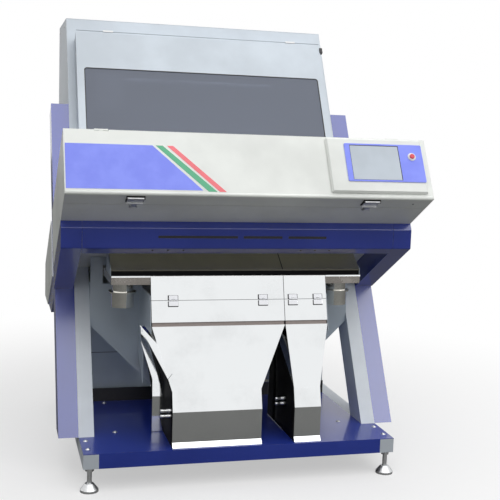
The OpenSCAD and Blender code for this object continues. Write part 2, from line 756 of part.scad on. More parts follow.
module housing_back() color(paint_grey) upright() difference() {
    along_x(sheet - half_body, half_body - sheet)
        polygon([[housing_rear_y, roof_z - sheet], back_high, back_low, [back_low[0], back_low[1] + 2 * sheet],
                 [housing_rear_y - sheet, back_high[1] + sheet], [housing_rear_y - sheet, roof_z - sheet]]);
    for (x = [-half_body / 2, half_body / 2], i = [1 : louvre_n]) {
        z = back_high[1] + rear_wall_h / 4 + i * louvre_pitch;
        block(x - louvre_w / 2, x + louvre_w / 2, housing_rear_y - 2 * sheet, housing_rear_y + cut,
              z, z + louvre_h);
    }
}

door_hinge_x = door_x - door_hinge_in;
window_x = door_x - door_rim;
door_b = column_b - 1;
door_axis = [door_b - barrel_r - 0.5, door_top + barrel_r + 1.5];
door_leaf = 24;
module window_door() color(paint_grey) leaning() difference() {
    union() {
        difference() {
            block(-door_x, door_x, door_b - door_d, door_b, door_low, door_top);
            block(sheet - door_x, door_x - sheet, door_b - door_d + sheet, far, door_low + sheet, door_top - sheet);
            along_y(-far, far) round_rect(-window_x, window_x, window_low, window_top, window_r);
        }
        for (x = [-door_hinge_x, door_hinge_x]) hinge_at(x) {
            rod_x(move_gap - knuckle / 2, knuckle / 2 - move_gap, door_axis[0], door_axis[1], barrel_r);
            block(move_gap - knuckle / 2, knuckle / 2 - move_gap,
                  door_axis[0] - barrel_r, door_axis[0] - barrel_r / 3, door_top - 2 * sheet, door_axis[1]);
        }
    }
    for (x = [-door_hinge_x, door_hinge_x]) hinge_at(x)
        rod_x(-knuckle, knuckle, door_axis[0], door_axis[1], pin_r + run_clear);
}
pane_lap = 10;
module window_pane() color("#4a5262") leaning()
    block(-window_x - pane_lap, window_x + pane_lap, door_b - door_d + sheet, door_b - door_d + sheet + pane_t,
          window_low - pane_lap, window_top + pane_lap);
module door_hinges() color(steel) leaning()
    for (x = [-door_hinge_x, door_hinge_x]) hinge_at(x) {
        for (s = [-1, 1]) translate([s * knuckle, 0, 0]) {
            rod_x(-knuckle / 2, knuckle / 2, door_axis[0], door_axis[1], barrel_r);
            block(-knuckle / 2, knuckle / 2, door_axis[0], column_b,
                  door_axis[1], door_axis[1] + barrel_r + leaf_t);
        }
        block(-hinge_l / 2, hinge_l / 2, column_b - leaf_t, column_b,
              door_axis[1] + barrel_r, door_axis[1] + door_leaf);
        rod_x(-hinge_l / 2, hinge_l / 2, door_axis[0], door_axis[1], pin_r);
    }

// Feed: slides, feeder trays and hopper

lane_in = 5;
slide_b = column_b + slide_in;
bar_as = [slide_low + 85, slide_top - 100];
bar_w = 30;
bar_d = 20;
module slide_lanes() color(steel) leaning() {
    for (i = [0 : 3]) translate([(i - 2) * lane_w + lane_in, 0, 0]) {
        w = lane_w - 2 * lane_in;
        block(0, w, slide_b, slide_b + sheet, slide_low, slide_top);
        for (x = [0, w - sheet]) block(x, x + sheet, slide_b - slide_lip, slide_b + sheet, slide_low, slide_top);
    }
    for (a = bar_as)
        block(sheet - half_body, half_body - sheet, slide_b + sheet, slide_b + sheet + bar_d, a, a + bar_w);
}

feeder_y = lean_y(slide_b, slide_top) - feeder_reach;
feeder_z = lean_z(slide_b, slide_top) + feeder_drop;
module feeder_tray(x0, x1) color(steel) upright() difference() {
    block(x0, x1, feeder_y, feeder_y + feeder_l, feeder_z, feeder_z + feeder_h);
    block(x0 + sheet, x1 - sheet, -far, feeder_y + feeder_l - sheet, feeder_z + sheet, far);
}
feeder_gap = 2;
module feeder_tray_wide() feeder_tray(-2 * lane_w + feeder_gap, lane_w - feeder_gap);
module feeder_tray_narrow() feeder_tray(lane_w + feeder_gap, 2 * lane_w - feeder_gap);
drive_l = 180;
drive_in = 90;
drive_y = feeder_y + drive_in;
drive_w = 110;
drive_gap = 0.3;
drive_step = 20;
shelf_t = 6;
shelf_over = 40;
shelf_z = feeder_z - drive_head - drive_h - shelf_t;
module feeder_drives() color(paint_dark) upright() {
    block(sheet - half_body, half_body - sheet, drive_y - shelf_over, drive_y + drive_l + shelf_over,
          shelf_z, shelf_z + shelf_t);
    for (i = [0 : 3]) translate([(i - 1.5) * lane_w, drive_y, 0]) {
        block(-drive_w / 2, drive_w / 2, 0, drive_l, shelf_z + shelf_t, feeder_z - drive_head);
        block(-drive_w / 3, drive_w / 3, drive_step, drive_l - drive_step,
              feeder_z - drive_head - cut, feeder_z - drive_gap);
    }
}

hopper_out_in = 40;
hopper_out_gap = 4;
hopper_out_y = hopper_y + hopper_out_in;
hopper_out_z = feeder_z + feeder_h + hopper_out_gap;
hopper_rim = 14;
hopper_out_x = 2 * lane_w - 4;
module hopper_cone(grow, up, down) hull() {
    block(-hopper_x - grow, hopper_x + grow, hopper_y - grow, hopper_y + hopper_l + grow,
          roof_z + up - cut, roof_z + up);
    block(-hopper_out_x - grow, hopper_out_x + grow, hopper_out_y - grow, hopper_out_y + hopper_slot + grow,
          hopper_out_z - down, hopper_out_z - down + cut);
}
hopper_in = 3;
module hopper() color(steel) upright() difference() {
    union() {
        hopper_cone(-hopper_in, 0, 0);
        block(-hopper_x - hopper_rim, hopper_x + hopper_rim,
              hopper_y - hopper_rim, hopper_y + hopper_l + hopper_rim, roof_z, roof_z + sheet);
    }
    hopper_cone(-hopper_in - sheet, sheet + cut, cut);
}

// Outlets

dust_x = post_in - dust_in;
spout_x = dust_x - spout_in;
tray_in = 2 * lane_w + 1;
tray_strip = 48;
tray_low = face_z - dust_h;
tray_front = face_y + steel_t;
tab_y = column_y(tray_low) + 12;
tab_l = 20;
// The rim stops short of the optics box's underside
rim_end = -head_ahead + (head_z - face_z) / tan(lean) - 20;
module dust_tray() color(steel) upright() difference() {
    t = steel_t;
    union() {
        difference() {
            block(-dust_x, dust_x, tray_front, rim_end, tray_low, face_z);
            block(t - dust_x, dust_x - t, tray_front + t, far, tray_low + t, far);
        }
        both_sides() {
            block(tray_in, dust_x, rim_end - cut, tab_y + tab_l, tray_low, tray_low + t);
            block(dust_x - t, post_in, tab_y, tab_y + tab_l, tray_low, tray_low + t);
        }
    }
    block(-tray_in, tray_in, tray_front + tray_strip, far, 0, far);
    for (x = [-spout_x, spout_x]) translate([x, spout_y, 0]) cylinder(h = far, r = neck_r);
}
apron_lip = 5;
apron_flange = 20;
apron_seam = 1;
apron_xs = [[-dust_x, lane_w - apron_seam / 2], [lane_w + apron_seam / 2, dust_x]];
// Two plates that hang under the front box and end in a lip just over the dust tray
module apron_plates() color(steel) upright() {
    t = steel_t;
    foot = [tray_front + apron_back, face_z + apron_gap];
    way = [cos(apron_rise), sin(apron_rise)];
    under = foot + t * [sin(apron_rise), -cos(apron_rise)];
    top = foot - way * lean_a(foot[0], foot[1]) / sin(lean + apron_rise);
    inner = under - way * (lean_a(under[0], under[1]) + t) / sin(lean + apron_rise);
    end = top + apron_flange * [cos(lean), -sin(lean)];
    heel = under + way * (foot[0] + t - under[0]) / way[0];
    for (x = apron_xs) along_x(x[0], x[1]) polygon([
        foot - [0, apron_lip], foot, top, end, end - t * [sin(lean), cos(lean)], inner, heel,
        [foot[0] + t, foot[1] - apron_lip]
    ]);
}
flange_w = 9;
flange_t = 5;
// A spout turned from one profile: narrow neck, step, flange and wide socket
module spout() color(steel) upright() translate([spout_x, spout_y, tray_low - spout_l]) rotate_extrude() polygon([
    [spout_r, 0], [spout_r + spout_t, 0], [spout_r + spout_t, spout_flange],
    [spout_r + spout_t + flange_w, spout_flange], [spout_r + spout_t + flange_w, spout_flange + flange_t],
    [neck_r + spout_t, spout_flange + flange_t], [neck_r + spout_t, spout_l], [neck_r, spout_l],
    [neck_r, spout_flange + spout_t], [spout_r, spout_flange]
]);
module spout_left() mirror([1, 0, 0]) spout();
module spout_right() spout();

panel_gap = 1;
wide_x = [-2 * lane_w + panel_gap, lane_w - panel_gap];
narrow_x = [lane_w + panel_gap, 2 * lane_w - panel_gap];
flap_top = panel_l + 1.5;
flap_low = flap_top + flap_l;
chute_top = flap_low + flap_gap;
wide_hinge_in = 77;
narrow_hinge_in = 32;
flap_hinge_xs = [
    [wide_x[0] + wide_hinge_in, wide_x[1] - wide_hinge_in],
    [narrow_x[0] + narrow_hinge_in, narrow_x[1] - narrow_hinge_in]
];
flap_axis = [-flap_barrel_r, -panel_l - 0.75];
flap_leaf = 17;
flap_leaf_t = 1.5;
flap_pin_r = pin_r / 2 + 0.5;
flap_knuckle = flap_hinge_w / 3;
module outlet_panels() color(steel) outlet_face() for (x = [wide_x, narrow_x])
    block(x[0], x[1], 0, steel_t, -panel_l, 0);
module flap(x, hinges) color(steel) outlet_face() difference() {
    half = flap_knuckle / 2 - move_gap;
    union() {
        block(x[0], x[1], 0, steel_t, -flap_low, -flap_top);
        for (h = hinges) hinge_at(h) {
            block(-flap_hinge_w / 2, flap_hinge_w / 2, -flap_leaf_t, 0,
                  flap_axis[1] - flap_leaf, flap_axis[1] - flap_barrel_r - 1);
            rod_x(-half, half, flap_axis[0], flap_axis[1], flap_barrel_r);
            block(-half, half, -flap_leaf_t, 0, flap_axis[1] - flap_barrel_r - 2, flap_axis[1] - 1);
        }
    }
    for (h = hinges) hinge_at(h)
        rod_x(-flap_knuckle, flap_knuckle, flap_axis[0], flap_axis[1], flap_pin_r + run_clear);
}
module flap_wide() flap(wide_x, flap_hinge_xs[0]);
module flap_narrow() flap(narrow_x, flap_hinge_xs[1]);
module flap_hinges() color(steel) outlet_face() for (pair = flap_hinge_xs, h = pair) hinge_at(h) {
    block(-flap_hinge_w / 2, flap_hinge_w / 2, -flap_leaf_t, 0,
          flap_axis[1] + flap_barrel_r + 1, flap_axis[1] + flap_leaf);
    for (s = [-1, 1]) translate([s * flap_knuckle, 0, 0]) {
        rod_x(-flap_knuckle / 2, flap_knuckle / 2, flap_axis[0], flap_axis[1], flap_barrel_r);
        block(-flap_knuckle / 2, flap_knuckle / 2, -flap_leaf_t, 0,
              flap_axis[1] + 1, flap_axis[1] + flap_barrel_r + 2);
    }
    rod_x(-flap_hinge_w / 2, flap_hinge_w / 2, flap_axis[0], flap_axis[1], flap_pin_r);
}

chute_top_z = face_z - chute_top * cos(face_lean);
// Edge of a tapering chute wall at a height
function taper(top, foot, z) = z < kink_z ? foot : foot + (top - foot) * (z - kink_z) / (chute_top_z - kink_z);
side_in = 0.2;
side_lap = 4;
side_fall = 15;
ear_rise = 8;
// One side wall of a chute: upright below the kink, and above it slanting out with the front wall's edge
module chute_side(top, foot, side) {
    slant = atan((top - foot) / (chute_top_z - kink_z));
    x0 = side < 0 ? side_in : -steel_t - side_in;
    y = steel_t / 2;
    back = chute_back + y;
    front_s = (chute_side_z - side_fall - kink_z) / cos(slant);
    back_s = (chute_side_z - kink_z) / cos(slant);
    translate([foot, 0, 0]) along_x(x0, x0 + steel_t) polygon([
        [outlet_y(fold_z) + y, floor_z], [outlet_y(fold_z) + y, fold_z],
        [outlet_y(kink_z) + y, kink_z + side_in], [back, kink_z + side_in], [back, floor_z]
    ]);
    translate([foot, 0, kink_z]) rotate([0, slant, 0]) along_x(x0, x0 + steel_t) polygon([
        [outlet_y(kink_z) + y, -side_lap], [outlet_y(chute_side_z - side_fall) + y, front_s],
        [back, back_s], [back, -side_lap]
    ]);
}
lip_h = 18;
lip_out = 12;
flange_top = kink_z - 80;
// A chute: front wall with a kicked-out lip, two side walls, and a back plate whose flanges rise to pointed ears
module chute(top, foot, splay) color(steel) {
    t = steel_t;
    e = side_in;
    k = side_lap / (outlet_s(kink_z) - chute_top);
    outlet_face() along_y(0, t) polygon([
        [top[0], -chute_top], [top[1], -chute_top], [foot[1] - k * (top[1] - foot[1]), -outlet_s(kink_z) - side_lap],
        [foot[0] - k * (top[0] - foot[0]), -outlet_s(kink_z) - side_lap]
    ]);
    upright() {
        y = outlet_y(fold_z) - e;
        ky = outlet_y(kink_z) - e;
        d = t / cos(face_lean) + 2 * e;
        along_x(foot[0] - e, foot[1] + e) polygon([
            [ky, kink_z], [y, fold_z], [y, floor_z + lip_h], [y - lip_out, floor_z + t], [y - lip_out, floor_z],
            [y + t / 2 - lip_out, floor_z], [y + d, floor_z + lip_h - t], [y + d, fold_z], [ky + d, kink_z]
        ]);
        chute_side(top[0], foot[0], -1);
        chute_side(top[1], foot[1], 1);
        x0 = taper(top[0], foot[0], chute_side_z);
        x1 = taper(top[1], foot[1], chute_side_z);
        along_y(chute_back, chute_back + steel_t) polygon([
            [foot[0] - chute_flange, floor_z], [foot[0] - chute_flange, flange_top],
            [x0 - splay[0], chute_side_z + ear_rise], [x0, chute_side_z + cut],
            [x1, chute_side_z + cut], [x1 + splay[1], chute_side_z + ear_rise],
            [foot[1] + chute_flange, flange_top], [foot[1] + chute_flange, floor_z]
        ]);
    }
}
side_splay = 25;
mid_splay = 5;
module chute_wide() chute(wide_x, [wide_left, wide_right], [side_splay, mid_splay]);
module chute_narrow() chute(narrow_x, [narrow_left, narrow_right], [mid_splay, side_splay]);

funnel_y = column_y(funnel_side_z) + funnel_in;
funnel_z = lean_z(column_back, 0) - funnel_gap;
slide_edge = 4;
slide_foot_y = chute_back + steel_t;
module outlet_slide() color(steel) upright() along_x(wide_x[0], narrow_x[1]) polygon([
    [slide_foot_y, chute_side_z - slide_edge], [slide_foot_y, chute_side_z], [funnel_y, funnel_z - slide_edge],
    [funnel_y, funnel_z - 2 * slide_edge]
]);

funnel_back = funnel_y + funnel_l;
// Ears of the funnel's front wall reach up beside and over the dust tray to the front box
ear_gap = 2;
ear_lap = 22;
duct_gap = 3;
duct_low = 390;
duct_foot = 300;
module rear_funnel() color(paint_dark) difference() {
    t = sheet;
    ear_x = dust_x + ear_gap;
    ear_z = face_z + 2 * ear_gap;
    duct_y = chute_back + steel_t + duct_gap;
    duct_z = chute_side_z + ear_rise + duct_gap;
    upright() {
        along_y(funnel_y, funnel_y + t) polygon([
            [-post_in, head_z], [-post_in, funnel_side_z], [-funnel_x, funnel_low], [funnel_x, funnel_low],
            [post_in, funnel_side_z], [post_in, head_z], [dust_x - ear_lap, head_z], [dust_x - ear_lap, ear_z],
            [ear_x, ear_z], [ear_x, funnel_z], [-ear_x, funnel_z],
            [-ear_x, ear_z], [ear_lap - dust_x, ear_z], [ear_lap - dust_x, head_z]
        ]);
        difference() {
            block(-post_in, post_in, funnel_back - t, funnel_back, rear_panel_z, funnel_z);
            block(-funnel_x, funnel_x, 0, far, 0, funnel_low);
        }
        both_sides() along_y(funnel_y, funnel_back) polygon([
            [post_in, funnel_z], [post_in, funnel_side_z], [funnel_x, funnel_low],
            [funnel_x - 2 * t, funnel_low], [post_in - t, funnel_side_z + t], [post_in - t, funnel_z]
        ]);
        // Sides of the duct between the outlet panels and the front wall
        both_sides() along_x(tray_in, tray_in + t) polygon([
            [outlet_y(funnel_z) + duct_gap, funnel_z], [funnel_y + t / 2, funnel_z], [funnel_y + t / 2, duct_low],
            [duct_y, duct_foot], [duct_y, duct_z], [outlet_y(duct_z) + duct_gap, duct_z]
        ]);
    }
    leaning() block(-far, far, -far, far, -funnel_gap, far);
}
trough_drop = 100;
trough_h = 70;
trough_in = 12;
trough_z = funnel_low - trough_in;
module rear_chute() color(steel) upright() {
    t = steel_t;
    y0 = funnel_y;
    y1 = funnel_back + rear_chute_l;
    along_x(-funnel_x, funnel_x)
        polygon([[y0, trough_z], [y1, trough_z - trough_drop],
                 [y1, trough_z - trough_drop + t], [y0, trough_z + t]]);
    both_sides() along_x(funnel_x - t, funnel_x)
        polygon([[y0, trough_z], [y1, trough_z - trough_drop], [y1, trough_z - trough_drop + trough_h],
                 [funnel_back, funnel_low], [y0, funnel_low]]);
}

side_rails();
cross_rails();
base_tray();
rail_caps();
foot_front_left();
foot_front_right();
foot_rear_left();
foot_rear_right();
post_left();
post_right();
column_left();
column_right();
front_arms();
rear_arms();
front_beam();
rear_legs();
front_box();
front_cover();
cover_hinges();
control_bezel();
screen_frame();
screen_panel();
button_collar();
push_button();
latch_plates();
latch_lever_left();
latch_lever_right();
latch_keepers();
viewing_glasses();
cameras();
lamp_bars();
rear_box();
rear_cover();
ejector_bar();
air_valves();
housing_sides();
housing_front();
housing_roof();
housing_back();
window_door();
window_pane();
door_hinges();
slide_lanes();
feeder_tray_wide();
feeder_tray_narrow();
feeder_drives();
hopper();
dust_tray();
apron_plates();
spout_left();
spout_right();
outlet_panels();
flap_wide();
flap_narrow();
flap_hinges();
chute_wide();
chute_narrow();
outlet_slide();
rear_funnel();
rear_chute();
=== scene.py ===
"""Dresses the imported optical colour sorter.

Adds finishes, printed stripes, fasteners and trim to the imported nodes, in a plain studio.
"""

import json
import logging
import math
from dataclasses import dataclass, field, replace
from enum import Enum
from typing import Any, Callable, Sequence

import bpy
import numpy as np
from mathutils import Matrix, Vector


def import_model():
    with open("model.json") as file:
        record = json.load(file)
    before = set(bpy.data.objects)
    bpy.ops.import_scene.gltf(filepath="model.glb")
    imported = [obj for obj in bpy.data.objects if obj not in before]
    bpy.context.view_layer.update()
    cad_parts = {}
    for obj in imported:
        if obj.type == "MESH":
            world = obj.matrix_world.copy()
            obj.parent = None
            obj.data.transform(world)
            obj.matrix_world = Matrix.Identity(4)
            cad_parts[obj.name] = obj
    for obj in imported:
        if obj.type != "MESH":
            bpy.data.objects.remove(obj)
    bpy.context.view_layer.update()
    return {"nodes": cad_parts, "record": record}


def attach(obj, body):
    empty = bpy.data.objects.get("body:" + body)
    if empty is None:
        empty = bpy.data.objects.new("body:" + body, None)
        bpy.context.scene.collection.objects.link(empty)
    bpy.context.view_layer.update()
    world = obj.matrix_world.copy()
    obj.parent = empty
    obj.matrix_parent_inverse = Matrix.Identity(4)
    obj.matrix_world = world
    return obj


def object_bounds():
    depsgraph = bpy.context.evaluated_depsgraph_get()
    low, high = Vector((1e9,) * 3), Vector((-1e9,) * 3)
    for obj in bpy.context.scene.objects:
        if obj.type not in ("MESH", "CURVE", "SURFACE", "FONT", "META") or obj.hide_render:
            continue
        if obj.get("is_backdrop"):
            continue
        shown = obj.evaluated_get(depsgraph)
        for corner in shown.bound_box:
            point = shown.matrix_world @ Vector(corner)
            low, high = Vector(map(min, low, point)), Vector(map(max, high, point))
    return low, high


LOG = logging.getLogger("colour_sorter")
MM = 0.001
# The source's Y, in millimetres, that lies at 0 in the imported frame.
Y_MID = 695.956
Array = np.ndarray
Colour = tuple[float, float, float]
Triple = tuple[float, float, float]
Pairs = Sequence[tuple[float, float]]
Triples = Sequence[Triple]
Rect = tuple[float, float, float, float]


class Body(str, Enum):
    """The rigid bodies of the machine that carry new pieces."""

    FRAME = "machine_frame"
    COVER = "front_cover"
    DOOR = "window_door"
    FLAP_WIDE = "flap_wide"
    FLAP_NARROW = "flap_narrow"


class Slot(str, Enum):
    """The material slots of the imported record."""

    BLUE_PAINT = "blue_paint"
    GREY_PAINT = "grey_paint"
    WHITE_PAINT = "white_paint"
    DARK_PAINT = "dark_paint"
    STAINLESS = "stainless"
    ZINC = "zinc"
    GREY_PLASTIC = "grey_plastic"
    BLUE_PLASTIC = "blue_plastic"
    SCREEN = "screen"
    WHITE_PLASTIC = "white_plastic"
    RED_PLASTIC = "red_plastic"
    BLACK_PLASTIC = "black_plastic"
    CLEAR_GLASS = "clear_glass"
    SMOKED_GLASS = "smoked_glass"
    LAMP = "lamp"
    ALUMINIUM = "aluminium"


def linear(rgb: Sequence[int]) -> Colour:
    """Turns an sRGB colour of 0 to 255 into linear light.

    Args:
        rgb: red, green and blue as written on a colour card.

    Returns:
        The colour in linear light.
    """
    c = np.asarray(rgb, float) / 255.0
    low = c / 12.92
    high = ((c + 0.055) / 1.055) ** 2.4
    return tuple(float(v) for v in np.where(c <= 0.04045, low, high))


# Shader writing

# Share that each finer octave of the noise keeps.
NOISE_ROUGH = 0.55
# Colour sockets of the Mix node: first and second input, and the output.
MIX_FIRST = 6
MIX_SECOND = 7
MIX_OUT = 2
# Turn of the rounded normal at which edge wear starts and is full.
EDGE_TURN = (0.01, 0.16)


class Val:
    """One shader value: arithmetic on it adds Math nodes to its net."""

    def __init__(self, net: "Net", socket: bpy.types.NodeSocket) -> None:
        """Keeps the net and the output socket."""
        self.net = net
        self.socket = socket

    def math(self, operation: str, *others: Any) -> "Val":
        """Adds one Math node.

        Args:
            operation: the Math node's operation.
            others: further numbers or values.

        Returns:
            The node's result.
        """
        values = {i: v for i, v in enumerate((self, *others))}
        return self.net.node("ShaderNodeMath", {"operation": operation}, values)

    def __add__(self, other: Any) -> "Val":
        """Sum."""
        return self.math("ADD", other)

    __radd__ = __add__

    def __mul__(self, other: Any) -> "Val":
        """Product."""
        return self.math("MULTIPLY", other)

    def __sub__(self, other: Any) -> "Val":
        """Difference."""
        return self.math("SUBTRACT", other)

    def __rsub__(self, other: Any) -> "Val":
        """Reflected difference, so that 1 - mask works."""
        return self.net.node("ShaderNodeMath", {"operation": "SUBTRACT"}, {0: other, 1: self})

    def step(self, low: float, high: float) -> "Val":
        """Rises smoothly from 0 at low to 1 at high.

        Args:
            low: value at which the rise starts.
            high: value at which it ends.

        Returns:
            The smooth step.
        """
        return self.net.node(
            "ShaderNodeMapRange",
            {"interpolation_type": "SMOOTHSTEP"},
            {"Value": self, "From Min": low, "From Max": high, "To Min": 0.0, "To Max": 1.0},
        )


class Net:
    """The node tree of one material."""

    def __init__(self, name: str) -> None:
        """Starts a material with one Principled shader."""
        self.material = bpy.data.materials.new(name)
        self.material.use_nodes = True
        self.tree = self.material.node_tree
        self.shader = self.tree.nodes["Principled BSDF"]
        self._object: Val | None = None

    def node(self, kind: str, settings: dict[str, Any], inputs: dict[Any, Any], output: int | str = 0) -> Val:
        """Adds any node.

        Args:
            kind: the node's type.
            settings: attributes set before the sockets.
            inputs: numbers, colours or links by socket name or index.
            output: the socket that is returned.

        Returns:
            The chosen output as a value.
        """
        node = self.tree.nodes.new(kind)
        for key, value in settings.items():
            setattr(node, key, value)
        for key, value in inputs.items():
            self.feed(node.inputs[key], value)
        return Val(self, node.outputs[output])

    def feed(self, socket: bpy.types.NodeSocket, value: Any) -> None:
        """Links a value to a socket, or sets it.

        Args:
            socket: the input.
            value: a Val, a number or a colour.
        """
        if isinstance(value, Val):
            self.tree.links.new(value.socket, socket)
        elif isinstance(value, (tuple, list)) and len(value) == 3 and socket.type == "RGBA":
            socket.default_value = (*value, 1.0)
        else:
            socket.default_value = value

    def set(self, **inputs: Any) -> "Net":
        """Feeds the Principled shader; underscores in names stand for spaces.

        Args:
            inputs: values by socket name.

        Returns:
            This net.
        """
        for key, value in inputs.items():
            self.feed(self.shader.inputs[key.replace("_", " ")], value)
        return self

    def place(self) -> Val:
        """Returns the Object coordinates, in metres."""
        if self._object is None:
            self._object = self.node("ShaderNodeTexCoord", {}, {}, "Object")
        return self._object

    def stretched(self, scale: Triple, turn: Triple = (0.0, 0.0, 0.0)) -> Val:
        """Object coordinates turned and scaled.

        Args:
            scale: factor along each axis.
            turn: angles in radians.

        Returns:
            The mapped coordinates.
        """
        inputs = {"Vector": self.place(), "Rotation": turn, "Scale": scale}
        return self.node("ShaderNodeMapping", {"vector_type": "POINT"}, inputs)

    def noise(self, scale: float, detail: float = 3.0, vector: Val | None = None) -> Val:
        """Fractal noise of 0 to 1.

        Args:
            scale: cells per metre.
            detail: octaves.
            vector: coordinates, or None for Object coordinates.

        Returns:
            The noise value.
        """
        place = self.place() if vector is None else vector
        inputs = {"Vector": place, "Scale": scale, "Detail": detail, "Roughness": NOISE_ROUGH}
        return self.node("ShaderNodeTexNoise", {}, inputs)

    def blend(self, mask: Any, first: Any, second: Any) -> Val:
        """Mixes two colours by a mask.

        Args:
            mask: 0 for the first, 1 for the second.
            first: colour or value.
            second: colour or value.

        Returns:
            The mixed colour.
        """
        node = self.tree.nodes.new("ShaderNodeMix")
        node.data_type = "RGBA"
        self.feed(node.inputs[0], mask)
        self.feed(node.inputs[MIX_FIRST], first)
        self.feed(node.inputs[MIX_SECOND], second)
        return Val(self, node.outputs[MIX_OUT])

    def edge(self, radius: float) -> Val:
        """Marks outer edges: how far a rounded normal turns from the face's own.

        Args:
            radius: reach from the edge, in metres.

        Returns:
            0 on flat faces, rising to 1 on sharp edges.
        """
        soft = self.node("ShaderNodeBevel", {"samples": 4}, {"Radius": radius})
        face = self.node("ShaderNodeNewGeometry", {}, {}, "Normal")
        dot = self.node("ShaderNodeVectorMath", {"operation": "DOT_PRODUCT"}, {0: soft, 1: face}, "Value")
        return (1.0 - dot).step(*EDGE_TURN)

    def bump(self, height: Val, depth: float) -> None:
        """Feeds a height, in units of depth metres, to the shader's Normal.

        Args:
            height: relief of 0 to 1.
            depth: its real depth in metres.
        """
        normal = self.node("ShaderNodeBump", {}, {"Strength": 1.0, "Distance": depth, "Height": height})
        self.feed(self.shader.inputs["Normal"], normal)


@dataclass(frozen=True)
class Finish:
    """A finish: its name and main colour. Each kind writes its own shader."""

    name: str
    colour: Colour

    def tint(self, gain: float, lift: float = 0.0) -> Colour:
        """A lighter or darker version of the colour.

        Args:
            gain: factor on red, green and blue.
            lift: light added to each.

        Returns:
            The colour, kept at 1 or below.
        """
        return tuple(min(1.0, v * gain + lift) for v in self.colour)

    def write(self, net: Net) -> None:
        """Writes the kind's shader.

        Args:
            net: the material's node tree.
        """
        raise NotImplementedError

    def build(self) -> bpy.types.Material:
        """Returns the material."""
        net = Net(self.name)
        self.write(net)
        return net.material


@dataclass(frozen=True)
class Paint(Finish):
    """Sprayed paint: fine orange peel, cloudy fading and a dusting of lighter specks."""

    rough: float = 0.35
    coat: float = 0.0
    peel: float = 420.0
    depth: float = 0.00012
    dust: float = 0.25
    coat_ior: float = 1.5
    coat_rough: float = 0.05
    clouds: float = 3.2
    grime: float = 9.0
    wear: float = 0.0022
    chips: float = 70.0

    def write(self, net: Net) -> None:
        """Writes the shader."""
        cloud = net.noise(self.clouds, 4.0)
        worn = net.edge(self.wear) * net.noise(self.chips, 4.0).step(0.42, 0.66)
        fine = net.noise(self.peel, 2.0)
        grime = net.noise(self.grime, 6.0).step(0.52, 0.78) * self.dust
        dusty = self.tint(0.80, 0.085)
        body = net.blend(cloud.step(0.3, 0.7), self.tint(0.90), self.tint(1.06, 0.004))
        rubbed = self.tint(0.55, 0.16)
        net.set(
            Base_Color=net.blend(worn * 0.8, net.blend(grime, body, dusty), rubbed),
            Roughness=self.rough + (fine - 0.5) * 0.10 + grime * 0.25,
            Coat_Weight=self.coat,
            Coat_Roughness=self.coat_rough,
            Coat_IOR=self.coat_ior,
            Specular_IOR_Level=0.5,
        )
        net.bump(fine, self.depth)


@dataclass(frozen=True)
class Sheet(Finish):
    """Bright rolled steel: drawn grain along one axis, handling smears and slight waviness."""

    rough: float = 0.12
    grain: Triple = (260.0, 260.0, 4.0)
    smear: float = 0.16
    wave: float = 0.0006
    smears: float = 7.0
    waves: float = 2.6

    def write(self, net: Net) -> None:
        """Writes the shader."""
        lines = net.noise(1.0, 3.0, net.stretched(self.grain))
        smears = net.noise(self.smears, 5.0).step(0.45, 0.8)
        ripple = net.noise(self.waves, 1.0)
        net.set(
            Base_Color=net.blend(smears * 0.6, self.colour, self.tint(0.82)),
            Metallic=1.0,
            Roughness=self.rough + (lines - 0.5) * 0.08 + smears * self.smear,
        )
        net.bump(lines * 0.02 + ripple, self.wave)


@dataclass(frozen=True)
class Plating(Finish):
    """Zinc plating: small crystals of slightly different grey, matt."""

    rough: float = 0.34
    crystals: float = 260.0
    stains: float = 60.0
    depth: float = 0.00004

    def write(self, net: Net) -> None:
        """Writes the shader."""
        cells = {"Vector": net.place(), "Scale": self.crystals}
        crystal = net.node("ShaderNodeTexVoronoi", {"feature": "F1"}, cells, "Color")
        tone = net.node("ShaderNodeRGBToBW", {}, {0: crystal})
        stain = net.noise(self.stains, 4.0).step(0.5, 0.8)
        net.set(
            Base_Color=net.blend(tone * 0.6 + stain * 0.3, self.colour, self.tint(0.72)),
            Metallic=1.0,
            Roughness=self.rough + tone * 0.12,
        )
        net.bump(tone, self.depth)


@dataclass(frozen=True)
class Moulding(Finish):
    """Moulded plastic or rubber: spark-eroded grain and light scuffs."""

    rough: float = 0.4
    grain: float = 900.0
    depth: float = 0.00005
    gloss: float = 0.5
    scuffs: float = 40.0

    def write(self, net: Net) -> None:
        """Writes the shader."""
        grain = net.noise(self.grain, 2.0)
        scuff = net.noise(self.scuffs, 5.0).step(0.55, 0.8)
        net.set(
            Base_Color=net.blend(scuff * 0.5, self.colour, self.tint(1.05, 0.02)),
            Roughness=self.rough + (grain - 0.5) * 0.1 + scuff * 0.12,
            Specular_IOR_Level=self.gloss,
        )
        net.bump(grain, self.depth)


@dataclass(frozen=True)
class Film(Finish):
    """A printed self-adhesive film: even ink with a faint press screen and lifted dust."""

    rough: float = 0.28
    dots: float = 1400.0
    clouds: float = 14.0
    depth: float = 0.00006

    def write(self, net: Net) -> None:
        """Writes the shader."""
        cells = {"Vector": net.place(), "Scale": self.dots}
        screen = net.node("ShaderNodeTexVoronoi", {"feature": "F1"}, cells)
        cloud = net.noise(self.clouds, 4.0)
        mask = cloud.step(0.35, 0.7) * 0.8 + screen * 0.1
        net.set(
            Base_Color=net.blend(mask, self.tint(0.93), self.tint(1.08, 0.02)),
            Roughness=self.rough + cloud * 0.12,
            Coat_Weight=0.25,
            Coat_Roughness=0.15,
        )
        net.bump(cloud, self.depth)


